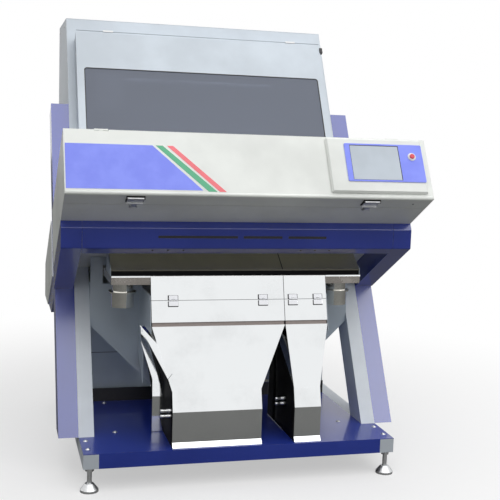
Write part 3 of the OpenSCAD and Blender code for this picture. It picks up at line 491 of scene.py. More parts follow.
@dataclass(frozen=True)
class Pane(Finish):
    """Glass or acrylic: tinted, with wipe marks in its gloss."""

    clear: float = 1.0
    rough: float = 0.03
    wipes: Triple = (3.0, 22.0, 22.0)
    wipe_turn: Triple = (0.3, 0.0, 0.5)
    specks: float = 420.0
    index: float = 1.45

    def write(self, net: Net) -> None:
        """Writes the shader."""
        wipes = net.noise(1.0, 4.0, net.stretched(self.wipes, self.wipe_turn))
        dust = net.noise(self.specks, 1.0).step(0.66, 0.8)
        net.set(
            Base_Color=net.blend(dust * 0.5, self.colour, self.tint(1.0, 0.05)),
            Roughness=self.rough + wipes.step(0.4, 0.8) * 0.06,
            Transmission_Weight=self.clear,
            IOR=self.index,
        )


@dataclass(frozen=True)
class Display(Finish):
    """A switched-off screen behind an anti-glare film: fine pixel rows and a soft backlight cloud."""

    rows: float = 520.0
    clouds: float = 9.0
    depth: float = 0.00001

    def write(self, net: Net) -> None:
        """Writes the shader."""
        lines = {"Vector": net.place(), "Scale": self.rows}
        rows = net.node("ShaderNodeTexWave", {"bands_direction": "X"}, lines)
        cloud = net.noise(self.clouds, 2.0)
        mask = cloud.step(0.3, 0.7) * 0.8 + rows * 0.12
        net.set(
            Base_Color=net.blend(mask, self.colour, self.tint(0.86)),
            Roughness=0.22 + rows * 0.03,
            Coat_Weight=0.5,
            Coat_Roughness=0.12,
        )
        net.bump(rows, self.depth)


ENAMEL = Paint(
    "enamel_blue", linear((34, 56, 156)), 0.30, 1.0, 300.0, 0.00004, 0.06, coat_ior=1.50, coat_rough=0.12
)
# Black finish of painted shade, for the chutes' side linings and the apron's dark slot, where only shade
# shows.
SHADE_LINING = Moulding("black_shade_lining", (0.008, 0.008, 0.009), 0.6, 500.0, 0.00002, gloss=0.04)
# Grey-brown finish of painted shade, for the strips in the gap under the flaps, where only the shaded inside
# shows.
SHADE_SILL = Moulding("sill_shade_grey", linear((158, 146, 142)), 0.5)
# Dark olive finish of painted shade, for the strip on the apron's lower lip.
LIP_SHADE = Moulding("lip_painted_shade", linear((92, 90, 80)), 0.6)
# Grey finish of painted shadow, for the dark line along the door's top edge.
SHADOW_BEAD = Moulding("door_shadow_bead", linear((172, 180, 188)), 0.5)
LEAF = Sheet("leaf_steel", (0.80, 0.81, 0.84), 0.10, (4.0, 260.0, 260.0), 0.08)


# Surfaces on a grid


def grid_faces(rows: int, columns: int, wrap: bool) -> Array:
    """Quads of a grid: corner (i, j) joins (i + 1, j), (i + 1, j + 1) and (i, j + 1).

    Args:
        rows: points along the first parameter.
        columns: points along the second.
        wrap: whether the second parameter closes on itself.

    Returns:
        Vertex numbers, four to a face.
    """
    i, j = np.meshgrid(np.arange(rows - 1), np.arange(columns if wrap else columns - 1), indexing="ij")
    k = (j + 1) % columns
    near = i * columns
    far = near + columns
    return np.stack([near + j, far + j, far + k, near + k], -1).reshape(-1, 4)


def grid_object(name: str, patches: Array, wrap: bool = False, smooth: bool = True) -> bpy.types.Object:
    """One mesh object from a stack of equal grids.

    Args:
        name: the piece's name.
        patches: points of shape (patch, row, column, 3), in metres.
        wrap: whether columns close on themselves.
        smooth: whether faces are shaded smooth.

    Returns:
        The linked object, at the origin.
    """
    patches = np.asarray(patches, float)
    count, rows, columns, _ = patches.shape
    faces = grid_faces(rows, columns, wrap)
    every = (faces[None] + (np.arange(count) * rows * columns)[:, None, None]).reshape(-1, 4)
    mesh = bpy.data.meshes.new(name)
    mesh.from_pydata(patches.reshape(-1, 3).tolist(), [], every.tolist())
    mesh.validate()
    mesh.polygons.foreach_set("use_smooth", np.full(len(mesh.polygons), smooth))
    mesh.update()
    piece = bpy.data.objects.new(name, mesh)
    bpy.context.scene.collection.objects.link(piece)
    return piece


@dataclass(frozen=True)
class Lean:
    """A leaning plane: x across, b along its normal into the machine, a up the plane, in millimetres."""

    origin: tuple[float, float]
    degrees: float

    def basis(self) -> Array:
        """Returns the unit vectors of x, b and a as rows."""
        t = math.radians(self.degrees)
        return np.array([[1, 0, 0], [0, math.cos(t), -math.sin(t)], [0, math.sin(t), math.cos(t)]], float)

    def at(self, points: Any) -> Array:
        """Turns (x, b, a) in millimetres into metres of the machine's frame.

        Args:
            points: an array whose last axis holds x, b and a.

        Returns:
            The points in the machine's frame.
        """
        place = np.asarray(points, float) @ self.basis()
        return (place + np.array([0.0, self.origin[0] - Y_MID, self.origin[1]])) * MM


# Planes of the machine: the cover's face, the outlet's face and the upright front of the base.
HEAD = Lean((-68.0, 1006.0), 29.0)
OUTLET = Lean((150.0, 709.0), 16.0)
UPRIGHT = Lean((0.0, 0.0), 0.0)
SIDES = ((-1, "left"), (1, "right"))
# Turned profiles of (radius, height): a socket-head screw on its washer, for a head radius of 1, and a clamp
# roller and a flat black disc of painted shade for a small hole, in millimetres.
SCREW_PROFILE = np.array([
    [0.0, 0.35], [0.30, 0.35], [0.42, 0.40], [0.46, 0.62], [0.62, 0.60], [0.82, 0.48],
    [0.96, 0.26], [1.0, 0.06], [1.42, 0.05], [1.5, 0.0], [1.45, -0.04],
])
ROLLER_PROFILE = np.array([
    [0.0, -20], [4.6, -20], [5.6, -19], [5.6, -6], [4.9, -5.4],
    [4.9, 5.4], [5.6, 6], [5.6, 19], [4.6, 20], [0.0, 20],
])
HOLE_SHADE_PROFILE = np.array([[0.0, 0.2], [2.4, 0.25], [3.2, 0.3], [3.4, 0.0]])


def frames(normal: Array) -> tuple[Array, Array]:
    """Two unit vectors square to a normal.

    Args:
        normal: a unit vector.

    Returns:
        The first and second cross direction.
    """
    helper = [1.0, 0.0, 0.0] if abs(normal[0]) < 0.9 else [0.0, 1.0, 0.0]
    first = np.cross(normal, helper)
    first = first / np.linalg.norm(first)
    return first, np.cross(normal, first)


def turned(lean: Lean, places: Triples, way: Triple, profile: Array, sides: int = 24) -> Array:
    """Turns a profile of (radius, height) points round one axis at each place.

    Args:
        lean: the plane that the places and the axis are in.
        places: (x, b, a) in millimetres.
        way: the axis, a unit vector.
        profile: points of shape (rows, 2), in millimetres.
        sides: points round the turn.

    Returns:
        Grids of shape (n, rows, sides, 3): place + radius (cos e1 + sin e2) + height axis.
    """
    axis = np.asarray(way, float) @ lean.basis()
    first, second = frames(axis)
    angle = np.linspace(0.0, 2.0 * np.pi, sides, endpoint=False)[:, None]
    ring = np.cos(angle) * first + np.sin(angle) * second
    radius, height = profile.T[..., None, None] * MM
    return lean.at(places)[:, None, None, :] + radius * ring + height * axis


def screws(lean: Lean, places: Triples, way: Triple, size: float) -> Array:
    """Socket-head screws on washers.

    Args:
        lean: the plane that the places are in.
        places: (x, b, a) in millimetres.
        way: the heads' direction in that plane.
        size: head radius in millimetres.

    Returns:
        Grids of shape (n, rows, 20, 3).
    """
    return turned(lean, places, way, SCREW_PROFILE * size, 20)


def pillow(lean: Lean, places: Triples, half: Triple, square: float = 0.22) -> Array:
    """Equal rounded blocks: the half size times signed powers of the sine and cosine of two angles.

    Args:
        lean: the plane that the places are in.
        places: the middles' (x, b, a) in millimetres.
        half: half size along x, b and a.
        square: the power: small is boxy.

    Returns:
        Grids of shape (n, 14, 28, 3).
    """
    u = np.linspace(-np.pi / 2, np.pi / 2, 14)[:, None]
    v = np.linspace(-np.pi, np.pi, 28, endpoint=False)

    def power(a: Array) -> Array:
        """Signed power, which squares a round section up."""
        return np.sign(a) * np.abs(a) ** square

    ring = power(np.cos(u))
    shape = np.stack([ring * power(np.cos(v)), ring * power(np.sin(v)), power(np.sin(u)) + 0 * v], -1)
    return lean.at(places)[:, None, None, :] + (shape * half * MM) @ lean.basis()


def bar(radius: float, half: float, bevel: tuple[float, float]) -> Array:
    """Profile of a round bar with bevelled ends.

    Args:
        radius: its radius in millimetres.
        half: half its length.
        bevel: the bevel's size in radius and in length.

    Returns:
        Points (radius, height) of shape (7, 2).
    """
    inner = radius - bevel[0]
    end = half - bevel[1]
    return np.array([
        [0, -half], [inner, -half], [radius, -end], [radius, 0], [radius, end], [inner, half], [0, half]
    ])


def spanned(lean: Lean, corners: Any, steps: int = 8) -> Array:
    """Four-cornered sheets in space: the two-way blend of each sheet's corners.

    Args:
        lean: the plane whose (x, b, a) the corners are in.
        corners: shape (n, 4, 3): lower left, lower right, upper right, upper left, in millimetres.
        steps: points along each side.

    Returns:
        Grids of shape (n, steps, steps, 3).
    """
    c = np.asarray(corners, float)[:, :, None, None, :]
    u = np.linspace(0, 1, steps)[:, None, None]
    v = np.linspace(0, 1, steps)[None, :, None]
    return lean.at((1 - u) * ((1 - v) * c[:, 0] + v * c[:, 1]) + u * ((1 - v) * c[:, 3] + v * c[:, 2]))


def bead(lean: Lean, rect: Rect, r: float, b: float, half: tuple[float, float]) -> Array:
    """A rounded bead along a rectangle with round corners: path + wide cos(t) out + high sin(t) normal.

    Args:
        lean: the plane.
        rect: left, right, lower and upper edge of the bead's middle line, in millimetres.
        r: its corner radius.
        b: its depth along the plane's normal.
        half: half width and half height of the section.

    Returns:
        One grid of shape (1, rows, columns, 3), with its first row repeated last.
    """
    x0, x1, a0, a1 = rect
    angle = (np.arange(4)[:, None] * 90.0 + np.linspace(0.0, 90.0, 8)) * math.pi / 180.0
    out = np.stack([np.cos(angle), np.sin(angle)], -1)
    centre = np.array([[x1 - r, a1 - r], [x0 + r, a1 - r], [x0 + r, a0 + r], [x1 - r, a0 + r]])
    path = (centre[:, None, :] + r * out).reshape(-1, 1, 2)
    t = np.linspace(0, 2 * np.pi, 10, endpoint=False)[:, None]
    across = path + half[0] * np.cos(t) * out.reshape(-1, 1, 2)
    depth = b + half[1] * np.sin(t) + 0 * across[..., :1]
    grid = lean.at(np.concatenate([across[..., :1], depth, across[..., 1:]], -1))
    return np.concatenate([grid, grid[:1]])[None]


@dataclass(frozen=True)
class Strip:
    """Level strips in one plane, in millimetres: their ends across, depth, lower and upper edge."""

    spans: Pairs
    b: float
    low: float
    high: float

    def corners(self) -> Array:
        """Returns each strip's corners, of shape (n, 4, 3), from the lower left one round."""
        x = np.asarray(self.spans, float)[:, [0, 1, 1, 0]]
        a = np.array([self.low, self.low, self.high, self.high])
        return np.stack([x, self.b + 0 * x, a + 0 * x], -1)


@dataclass
class Workshop:
    """Keeps the finishes and hangs each new piece on its body."""

    finishes: dict[Slot, bpy.types.Material]
    own: dict[Finish, bpy.types.Material] = field(default_factory=dict)
    made: list[str] = field(default_factory=list)

    def material(self, slot: Slot, kind: Finish | None) -> bpy.types.Material:
        """Picks a finish; a kind of its own is built at its first use.

        Args:
            slot: the record's slot.
            kind: a finish of its own, or None for the slot's.

        Returns:
            The material.
        """
        if kind is None:
            return self.finishes[slot]
        if kind not in self.own:
            self.own[kind] = kind.build()
        return self.own[kind]

    def add(
        self, name: str, grids: Array, body: Body, slot: Slot, kind: Finish | None = None,
        depth: float | None = None, smooth: bool = False,
    ) -> None:
        """Makes one piece from its grids, dresses it and makes it ride on a body.

        Args:
            name: the piece's name.
            grids: points of shape (patch, row, column, 3), in metres.
            body: the body that carries it.
            slot: the record's slot it takes its finish from.
            kind: a finish of its own, or None for the slot's.
            depth: thickness of open sheets in millimetres, or None for closed bodies.
            smooth: whether open sheets are shaded smooth; closed bodies always are.
        """
        closed = depth is None
        piece = grid_object(name, grids, closed, closed or smooth)
        if not closed:
            skin = piece.modifiers.new("thickness", "SOLIDIFY")
            skin.thickness = depth * MM
            skin.offset = 0.0
        piece.data.materials.append(self.material(slot, kind))
        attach(piece, body.value)
        self.made.append(piece.name)
        LOG.info("piece %s on %s, %d faces", piece.name, body.value, len(piece.data.polygons))


class Trim:
    """One sub-assembly's pieces that only the scene has. Its fields are in the millimetres of their plane."""

    def build(self, shop: Workshop) -> None:
        """Builds the pieces.

        Args:
            shop: the workshop that hangs the pieces.
        """
        raise NotImplementedError


@dataclass
class HeadTrim(Trim):
    """Printed stripes and round lower hem of the front cover, a black ring of painted shade round its screen,
    and a black disc of painted shade for a small hole in its underside.
    """

    band: Pairs = ((-626, 18), (-186, 18), (-344, 178), (-626, 178))
    green: Pairs = ((-168, 14), (-139, 14), (-310, 178), (-333, 178))
    red: Pairs = ((-131, 14), (-108, 14), (-275, 178), (-296, 178))
    film: float = 0.2
    film_b: float = -0.35
    screen: Rect = (338.5, 518.5, 64.0, 196.0)
    screen_r: float = 1.5
    # Painted shade: a black ring just inside the screen's frame, for the shade that the frame's depth casts.
    shadow_rim_b: float = -12.6
    shadow_rim: tuple[float, float] = (1.5, 0.6)
    # Painted shade: a flat black disc for the dark inside of a small hole in the cover's underside.
    hole_shade_at: Triple = (568.0, 43.0, 0.0)
    hem_at: Triple = (0.0, 5.0, 5.0)
    hem_r: float = 7.4
    hem_half: float = 628.0

    def build(self, shop: Workshop) -> None:
        """Builds the stripes, the screen's ring of painted shade, the disc of painted shade and the hem."""
        inks = (
            ("head_band", self.band, Film("print_blue", linear((122, 138, 255)))),
            ("head_stripe_green", self.green, Film("print_green", linear((74, 176, 130)))),
            ("head_stripe_red", self.red, Film("print_red", linear((248, 112, 122)))),
        )
        for name, outline, ink in inks:
            patch = spanned(HEAD, [[(x, self.film_b, a) for x, a in outline]], 12)
            shop.add(name, patch, Body.COVER, Slot.BLUE_PLASTIC, ink, self.film)
        # Painted shade round the screen's edge.
        rim = bead(HEAD, self.screen, self.screen_r, self.shadow_rim_b, self.shadow_rim)
        shop.add("screen_shadow_rim", rim, Body.COVER, Slot.BLACK_PLASTIC)
        # Painted shade: the small hole's dark inside, as a flat black disc.
        hole_shade = turned(HEAD, [self.hole_shade_at], (0, 0, -1), HOLE_SHADE_PROFILE)
        shop.add("cover_hole_shade", hole_shade, Body.COVER, Slot.BLACK_PLASTIC)
        hem = turned(HEAD, [self.hem_at], (1, 0, 0), bar(self.hem_r, self.hem_half, (1.0, 1.0)), 32)
        shop.add("cover_hem", hem, Body.COVER, Slot.WHITE_PAINT)


@dataclass
class BeamTrim(Trim):
    """Black plate of painted shade behind the beam's vent slots, and the screws under its lip."""

    slots: Pairs = ((-303, -23), (-3, 139), (161, 303))
    face_b: float = 211.5
    fold_a: float = -25.4
    # The plate behind the slots is painted shade: black where the slots show the beam's shaded inside.
    shade_gap: float = 2.6
    shade_drop: float = 30.0
    shade_lap: float = 6.0
    shade_half: float = 9.0
    screw_x: Sequence[float] = (-320.0, -266.0, -212.0, 212.0, 266.0, 320.0)
    screw_b: float = 262.0
    screw_a: float = -86.0

    def build(self, shop: Workshop) -> None:
        """Builds the plate of painted shade and the screws."""
        y, z = (HEAD.at([0.0, self.face_b, self.fold_a])[1:] / MM).tolist()
        y += Y_MID + self.shade_gap
        z -= self.shade_drop
        spans = [(x0 - self.shade_lap, x1 + self.shade_lap) for x0, x1 in self.slots]
        # Painted shade: a black plate behind each vent slot.
        mesh = Strip(spans, y, z - self.shade_half, z + self.shade_half)
        shop.add("vent_shade_plate", spanned(UPRIGHT, mesh.corners()), Body.FRAME, Slot.BLACK_PLASTIC, depth=0.6)
        spots = [(x, self.screw_b, self.screw_a) for x in self.screw_x]
        shop.add("beam_screws", screws(HEAD, spots, (0, 0, -1), 3.0), Body.FRAME, Slot.BLACK_PLASTIC)


@dataclass
class DoorTrim(Trim):
    """Black rim round the pane, side latch, grey top bead, hinge caps and side screws of the window door. The
    top bead is painted shadow, the dark line at the door's top edge; the rim is a rubber surround that also
    paints the thin shadow at the pane's top and left edges.
    """

    half_w: float = 525.0
    window: Rect = (-494.5, 494.5, 421.5, 835.5)
    window_r: float = 11.0
    # The pane's black rim is a rubber surround that also paints the thin shadow at the pane's top and left
    # edges.
    shadow_rim_b: float = 581.2
    shadow_rim: tuple[float, float] = (2.2, 1.6)
    latch_at: Triple = (528.5, 584.0, 980.0)
    latch: Triple = (6.5, 9.0, 13.0)
    # Painted shadow: a thin grey bar for the dark line at the door's top edge.
    shadow_bead_at: Triple = (0.0, 580.6, 1012.7)
    shadow_bead_r: float = 1.6
    shadow_bead_half: float = 523.0
    cap_at: Triple = (392.5, 582.5, 1014.5)
    cap: Triple = (22.0, 3.5, 4.0)
    screw_b: float = 588.0
    screw_a: Sequence[float] = (300.0, 897.0)

    def build(self, shop: Workshop) -> None:
        """Builds the pane's rim, latch, shadow bead, caps and screws."""
        # Partly painted shadow: the black rim round the pane.
        shade_seal = bead(HEAD, self.window, self.window_r, self.shadow_rim_b, self.shadow_rim)
        shop.add("window_shadow_gasket", shade_seal, Body.DOOR, Slot.BLACK_PLASTIC)
        latch = pillow(HEAD, [self.latch_at], self.latch)
        shop.add("door_latch", latch, Body.DOOR, Slot.BLACK_PLASTIC)
        line = turned(HEAD, [self.shadow_bead_at], (1, 0, 0), bar(self.shadow_bead_r, self.shadow_bead_half, (0.4, 0.5)), 16)
        shop.add("door_top_shadow_bead", line, Body.DOOR, Slot.GREY_PLASTIC, SHADOW_BEAD)
        x, b, a = self.cap_at
        caps = pillow(HEAD, [(-x, b, a), (x, b, a)], self.cap)
        shop.add("door_hinge_caps", caps, Body.DOOR, Slot.WHITE_PLASTIC)
        for side, name in SIDES:
            spots = [(side * self.half_w, self.screw_b, a) for a in self.screw_a]
            shop.add(f"door_screws_{name}", screws(HEAD, spots, (side, 0, 0), 3.5), Body.DOOR, Slot.ZINC)


@dataclass
class ChuteTrim(Trim):
    """Black side linings and grey-brown flap sill strips, both painted shade, and the fins, mitre line and
    clamp rollers of the two front chutes.
    """

    feet: Sequence[tuple[float, float, int]] = (
        (-254, -319, -1), (62, 159, 1), (182, 161, -1), (279, 319, 1)
    )
    low_z: float = 136.0
    fold_z: float = 258.0
    kink_z: float = 325.0
    ear_z: float = 498.0
    top_z: float = 540.3
    back_y: float = 259.0
    ear_gap: float = 4.0
    flange: float = 2.0
    proud: float = 0.7
    front_fin: Triples = ((368, 0, 1.5), (484, 0, 29), (511, 19, 35), (543, 41, 43))
    front_drift: float = 0.38
    rear_fin: Triples = (
        (136, 3, 41), (265, 3, 41), (325, 18, 40), (455, 13, 40.6), (502, 21, 27), (514, 21.7, 22)
    )
    rear_drift: float = 0.05
    rear_y: float = 205.0
    rear_lean: float = 0.20
    mitre: Triples = ((-267, -0.6, -355.6), (-253, -0.6, -339), (-253, -0.6, -337), (-267, -0.6, -353.6))
    # Painted shade: grey-brown strips that fill the gap under the flaps.
    shade_sills: Strip = Strip(((-317, 157), (163, 317)), 4.5, -178, -158)
    roller_out: float = 21.0
    roller_y: tuple[float, float] = (36.0, 130.0)
    roller_z: tuple[float, float] = (243.0, 262.0)

    def front(self, z: Array) -> Array:
        """Returns the outlet face's distance behind the base front at each height."""
        y, top = OUTLET.origin
        return y - (top - np.maximum(z, self.fold_z)) * math.tan(math.radians(OUTLET.degrees))

    def rear(self, z: Array) -> Array:
        """Returns the rear fin's distance behind the base front: upright to the fold, then leaning back."""
        return self.rear_y + self.rear_lean * np.maximum(z - self.fold_z, 0.0)

    def wall(self, foot: float, top: float, z: Array) -> Array:
        """Returns a chute edge's X at each height: upright to the kink, then straight to the top."""
        return foot + (top - foot) * np.clip((z - self.kink_z) / (self.top_z - self.kink_z), 0, 1)

    def shade_lining(self, foot: float, top: float, side: int) -> Array:
        """One black side sheet of painted shade, from a line behind the front edge, which runs up to the
        back's ear, to the back.

        Args:
            foot: the chute edge at the base.
            top: the chute edge at its top.
            side: -1 for a left side, 1 for a right one.

        Returns:
            One grid of shape (rows, columns, 3).
        """
        z = np.concatenate([
            np.linspace(self.low_z, self.fold_z, 6),
            np.linspace(self.fold_z + 4, self.kink_z, 6),
            np.linspace(self.kink_z + 5, self.ear_z, 14),
        ])[:, None]
        rise = np.clip((z - self.kink_z) / (self.ear_z - self.kink_z), 0, 1)
        edge = self.front(np.minimum(z, self.kink_z)) + self.flange
        start = edge + rise * (self.back_y - self.ear_gap - edge)
        u = np.linspace(0, 1, 8)
        y = start * (1 - u) + self.back_y * u
        x = self.wall(foot, top, z) + side * self.proud
        return UPRIGHT.at(np.stack([x + 0 * y, y, z + 0 * y], -1))

    def fin(self, rows: Triples, base: Callable[[Array], Array], drift: float) -> Array:
        """One fin: at each height it runs out from the wide chute's side wall, left and a little back.

        Args:
            rows: height, inner and outer reach in millimetres.
            base: its foot's distance behind the base front at each height.
            drift: share of the reach that goes back.

        Returns:
            One grid of shape (1, rows, columns, 3): wall + reach times one level direction.
        """
        z, near, far = np.asarray(rows, float).T[..., None]
        foot, top, side = self.feet[0]
        u = np.linspace(0, 1, 6)
        run = near * (1 - u) + far * u
        x = self.wall(foot, top, z) + side * math.sqrt(1 - drift**2) * run
        return UPRIGHT.at(np.stack([x, base(z) + drift * run, z + 0 * run], -1))[None]

    def build(self, shop: Workshop) -> None:
        """Builds the linings of painted shade, fins, mitre line, sill strips of painted shade and rollers."""
        grids = np.stack([self.shade_lining(*foot) for foot in self.feet])
        # Painted shade: black sheets on the chutes' sides, where only shade and dark reflections show.
        shop.add("chute_shade_linings", grids, Body.FRAME, Slot.BLACK_PLASTIC, SHADE_LINING, 0.5, smooth=True)
        fins = {
            "chute_front_fin": self.fin(self.front_fin, self.front, self.front_drift),
            "chute_rear_fin": self.fin(self.rear_fin, self.rear, self.rear_drift),
        }
        for name, grid in fins.items():
            shop.add(name, grid, Body.FRAME, Slot.STAINLESS, depth=0.8)
        shop.add("chute_mitre", spanned(OUTLET, [self.mitre]), Body.FRAME, Slot.BLACK_PLASTIC, depth=0.6)
        # Painted shade in the gap under the flaps.
        shade_sills = spanned(OUTLET, self.shade_sills.corners())
        shop.add("flap_shade_sills", shade_sills, Body.FRAME, Slot.GREY_PLASTIC, SHADE_SILL, 1.2)
        left = (self.feet[0], self.feet[2])
        spots = [
            (foot + side * self.roller_out, y, z)
            for (foot, _, side), y in zip(left, self.roller_y)
            for z in self.roller_z
        ]
        rollers = turned(UPRIGHT, spots, (1, 0, 0), ROLLER_PROFILE, 20)
        shop.add("chute_rollers", rollers, Body.FRAME, Slot.ZINC)


@dataclass
class ApronTrim(Trim):
    """A black strip of painted shade across the apron's slot, a dark strip of painted shade on its lip, its
    seam and cheeks, the rail hem, and at the rear funnel a black sheet of painted shade along the bottom and
    a seam.
    """

    # Painted shade: a black sheet low at the rear, where only the dark under the machine shows.
    shade_skirt: Strip = Strip(((-501, -200), (200, 501)), 630, 134.2, 187)
    panel_seam: Strip = Strip(((-500, -275), (275, 500)), 642.7, 329, 331)
    # Painted shade: a black sheet across the dark slot between the apron and the rail.
    shade_seal: Strip = Strip(((-455, 455),), 163, 709.5, 728)
    hem: Strip = Strip(((-455, -320), (320, 455)), -0.9, -4.4, 0.8)
    seam: Triples = (
        (158.6, 159.6, 731.5), (161.4, 159.6, 731.5), (161.4, 278.2, 814.5), (158.6, 278.2, 814.5)
    )
    # Painted shade: a dark olive strip on the apron's lower lip, for its shaded look.
    lip: Strip = Strip(((-455, 455),), 159.4, 726, 731.2)
    cheek: Pairs = ((160, 709.5), (294, 709.5), (294, 802), (160, 731))
    cheek_x: float = 456.2

    def build(self, shop: Workshop) -> None:
        """Builds the sheets, from the back to the apron's sides."""
        black = Slot.BLACK_PLASTIC
        cheeks = [[(side * self.cheek_x, y, z) for y, z in self.cheek] for side, _ in SIDES]
        sheets = (
            ("rear_shade_skirt", UPRIGHT, self.shade_skirt.corners(), black, None, 2.0),
            ("rear_panel_seam", UPRIGHT, self.panel_seam.corners(), black, None, 0.4),
            ("apron_shade_seal", UPRIGHT, self.shade_seal.corners(), black, SHADE_LINING, 1.5),
            ("rail_hem", OUTLET, self.hem.corners(), Slot.STAINLESS, None, 1.2),
            ("apron_seam", UPRIGHT, [self.seam], black, None, 0.6),
            ("apron_lip", UPRIGHT, self.lip.corners(), black, LIP_SHADE, 1.0),
            ("apron_cheeks", UPRIGHT, cheeks, Slot.DARK_PAINT, None, 1.2),
        )
        for name, lean, corners, slot, kind, depth in sheets:
            shop.add(name, spanned(lean, corners), Body.FRAME, slot, kind, depth)


@dataclass
class FlapTrim(Trim):
    """Lower leaves of the flap hinges, and thin black pieces of painted shade under both leaves, which draw
    dark outlines round them.
    """

    wide_x: tuple[float, float] = (-242.0, 82.0)
    narrow_x: tuple[float, float] = (193.0, 287.0)
    hinge_a: float = -84.75
    # The black pieces are painted shade: thin sheets a little larger than the leaves, for the dark outlines
    # round the hinges.
    upper_shadow_pad: Triple = (18.5, 0.35, 9.5)
    upper_at: Triple = (-1.0, -0.35, 8.6)
    lower_shadow_pad: Triple = (18.5, 0.35, 10.0)
    lower_at: Triple = (-1.0, -0.35, -13.0)
    leaf: Triple = (16.5, 0.8, 8.5)
    leaf_at: Triple = (0.0, -1.3, -11.5)
    shadow_pad_square: float = 0.12
    leaf_square: float = 0.15

    def beside(self, hinges: Sequence[float], shift: Triple) -> Array:
        """Returns one place beside each hinge, by the same shift from its pin."""
        return np.array([(x, 0.0, self.hinge_a) for x in hinges]) + shift

    def build(self, shop: Workshop) -> None:
        """Builds the upper shade pieces on the frame, then the shade pieces and leaves of each flap."""
        every = self.beside((*self.wide_x, *self.narrow_x), self.upper_at)
        # Painted shade round each hinge's upper leaf.
        shadow_pads = pillow(OUTLET, every, self.upper_shadow_pad, self.shadow_pad_square)
        shop.add("hinge_shadow_pads", shadow_pads, Body.FRAME, Slot.BLACK_PLASTIC)
        for body, hinges in ((Body.FLAP_WIDE, self.wide_x), (Body.FLAP_NARROW, self.narrow_x)):
            shadow_pads = pillow(OUTLET, self.beside(hinges, self.lower_at), self.lower_shadow_pad, self.shadow_pad_square)
            shop.add(f"{body.value}_pads", shadow_pads, body, Slot.BLACK_PLASTIC)
            leaves = pillow(OUTLET, self.beside(hinges, self.leaf_at), self.leaf, self.leaf_square)
            shop.add(f"{body.value}_leaves", leaves, body, Slot.STAINLESS, LEAF)


@dataclass
class HousingTrim(Trim):
    """Screws of the upper housing, the hopper rim and the rear cover."""

    size: float = 4.0
    rim_x: float = 300.0
    rim_y: Sequence[float] = (1113.0, 1437.0)
    rim_z: float = 1668.0
    cover_x: float = 462.0
    cover_y: float = 1099.1
    cover_z: Sequence[float] = (501.0, 645.0)
    side_x: float = 556.0
    side_spots: Pairs = ((1120.0, 1640.0), (1420.0, 1640.0), (1420.0, 1240.0), (1060.0, 1040.0))

    def build(self, shop: Workshop) -> None:
        """Builds the screws."""
        rim = [(x, y, self.rim_z) for x in np.linspace(-self.rim_x, self.rim_x, 5) for y in self.rim_y]
        shop.add("hopper_screws", screws(UPRIGHT, rim, (0, 0, 1), self.size), Body.FRAME, Slot.ZINC)
        across = np.linspace(-self.cover_x, self.cover_x, 5)
        back = [(x, self.cover_y, z) for x in across for z in self.cover_z]
        shop.add("rear_cover_screws", screws(UPRIGHT, back, (0, 1, 0), self.size), Body.FRAME, Slot.ZINC)
        for side, name in SIDES:
            spots = [(side * self.side_x, y, z) for y, z in self.side_spots]
            heads = screws(UPRIGHT, spots, (side, 0, 0), self.size)
            shop.add(f"side_screws_{name}", heads, Body.FRAME, Slot.ZINC)


@dataclass
class BaseTrim(Trim):
    """Screws of the base tray."""

    size: float = 6.0
    tray_z: float = 134.0
    half_spots: Pairs = ((424, 225), (422, 601), (536, 52), (536, 140))

    def build(self, shop: Workshop) -> None:
        """Builds the screws."""
        spots = [(side * x, y, self.tray_z) for side, _ in SIDES for x, y in self.half_spots]
        shop.add("tray_screws", screws(UPRIGHT, spots, (0, 0, 1), self.size), Body.FRAME, Slot.ZINC)


def pose(axes: Sequence[Array], place: Triple) -> Matrix:
    """World matrix of a camera or lamp.

    Args:
        axes: its unit X, Y and Z axis; Z points away from what it faces.
        place: where it stands.

    Returns:
        The matrix.
    """
    m = np.eye(4)
    m[:3] = np.stack([*axes, np.asarray(place)], -1)
    return Matrix(m.tolist())


@dataclass(frozen=True)
class Lamp:
    """One soft box: where it hangs, what it faces, its width and height in metres, and its watts."""

    name: str
    place: Triple
    aim: Triple
    size: tuple[float, float]
    power: float

    def build(self) -> None:
        """Adds the lamp to the scene."""
        data = bpy.data.lights.new(self.name, "AREA")
        data.shape = "RECTANGLE"
        data.size, data.size_y = self.size
        data.energy = self.power
        back = np.asarray(self.place) - np.asarray(self.aim)
        back = back / np.linalg.norm(back)
        side, up = frames(back)
        lamp = bpy.data.objects.new(self.name, data)
        lamp.matrix_world = pose((side, up, back), self.place)
        bpy.context.scene.collection.objects.link(lamp)


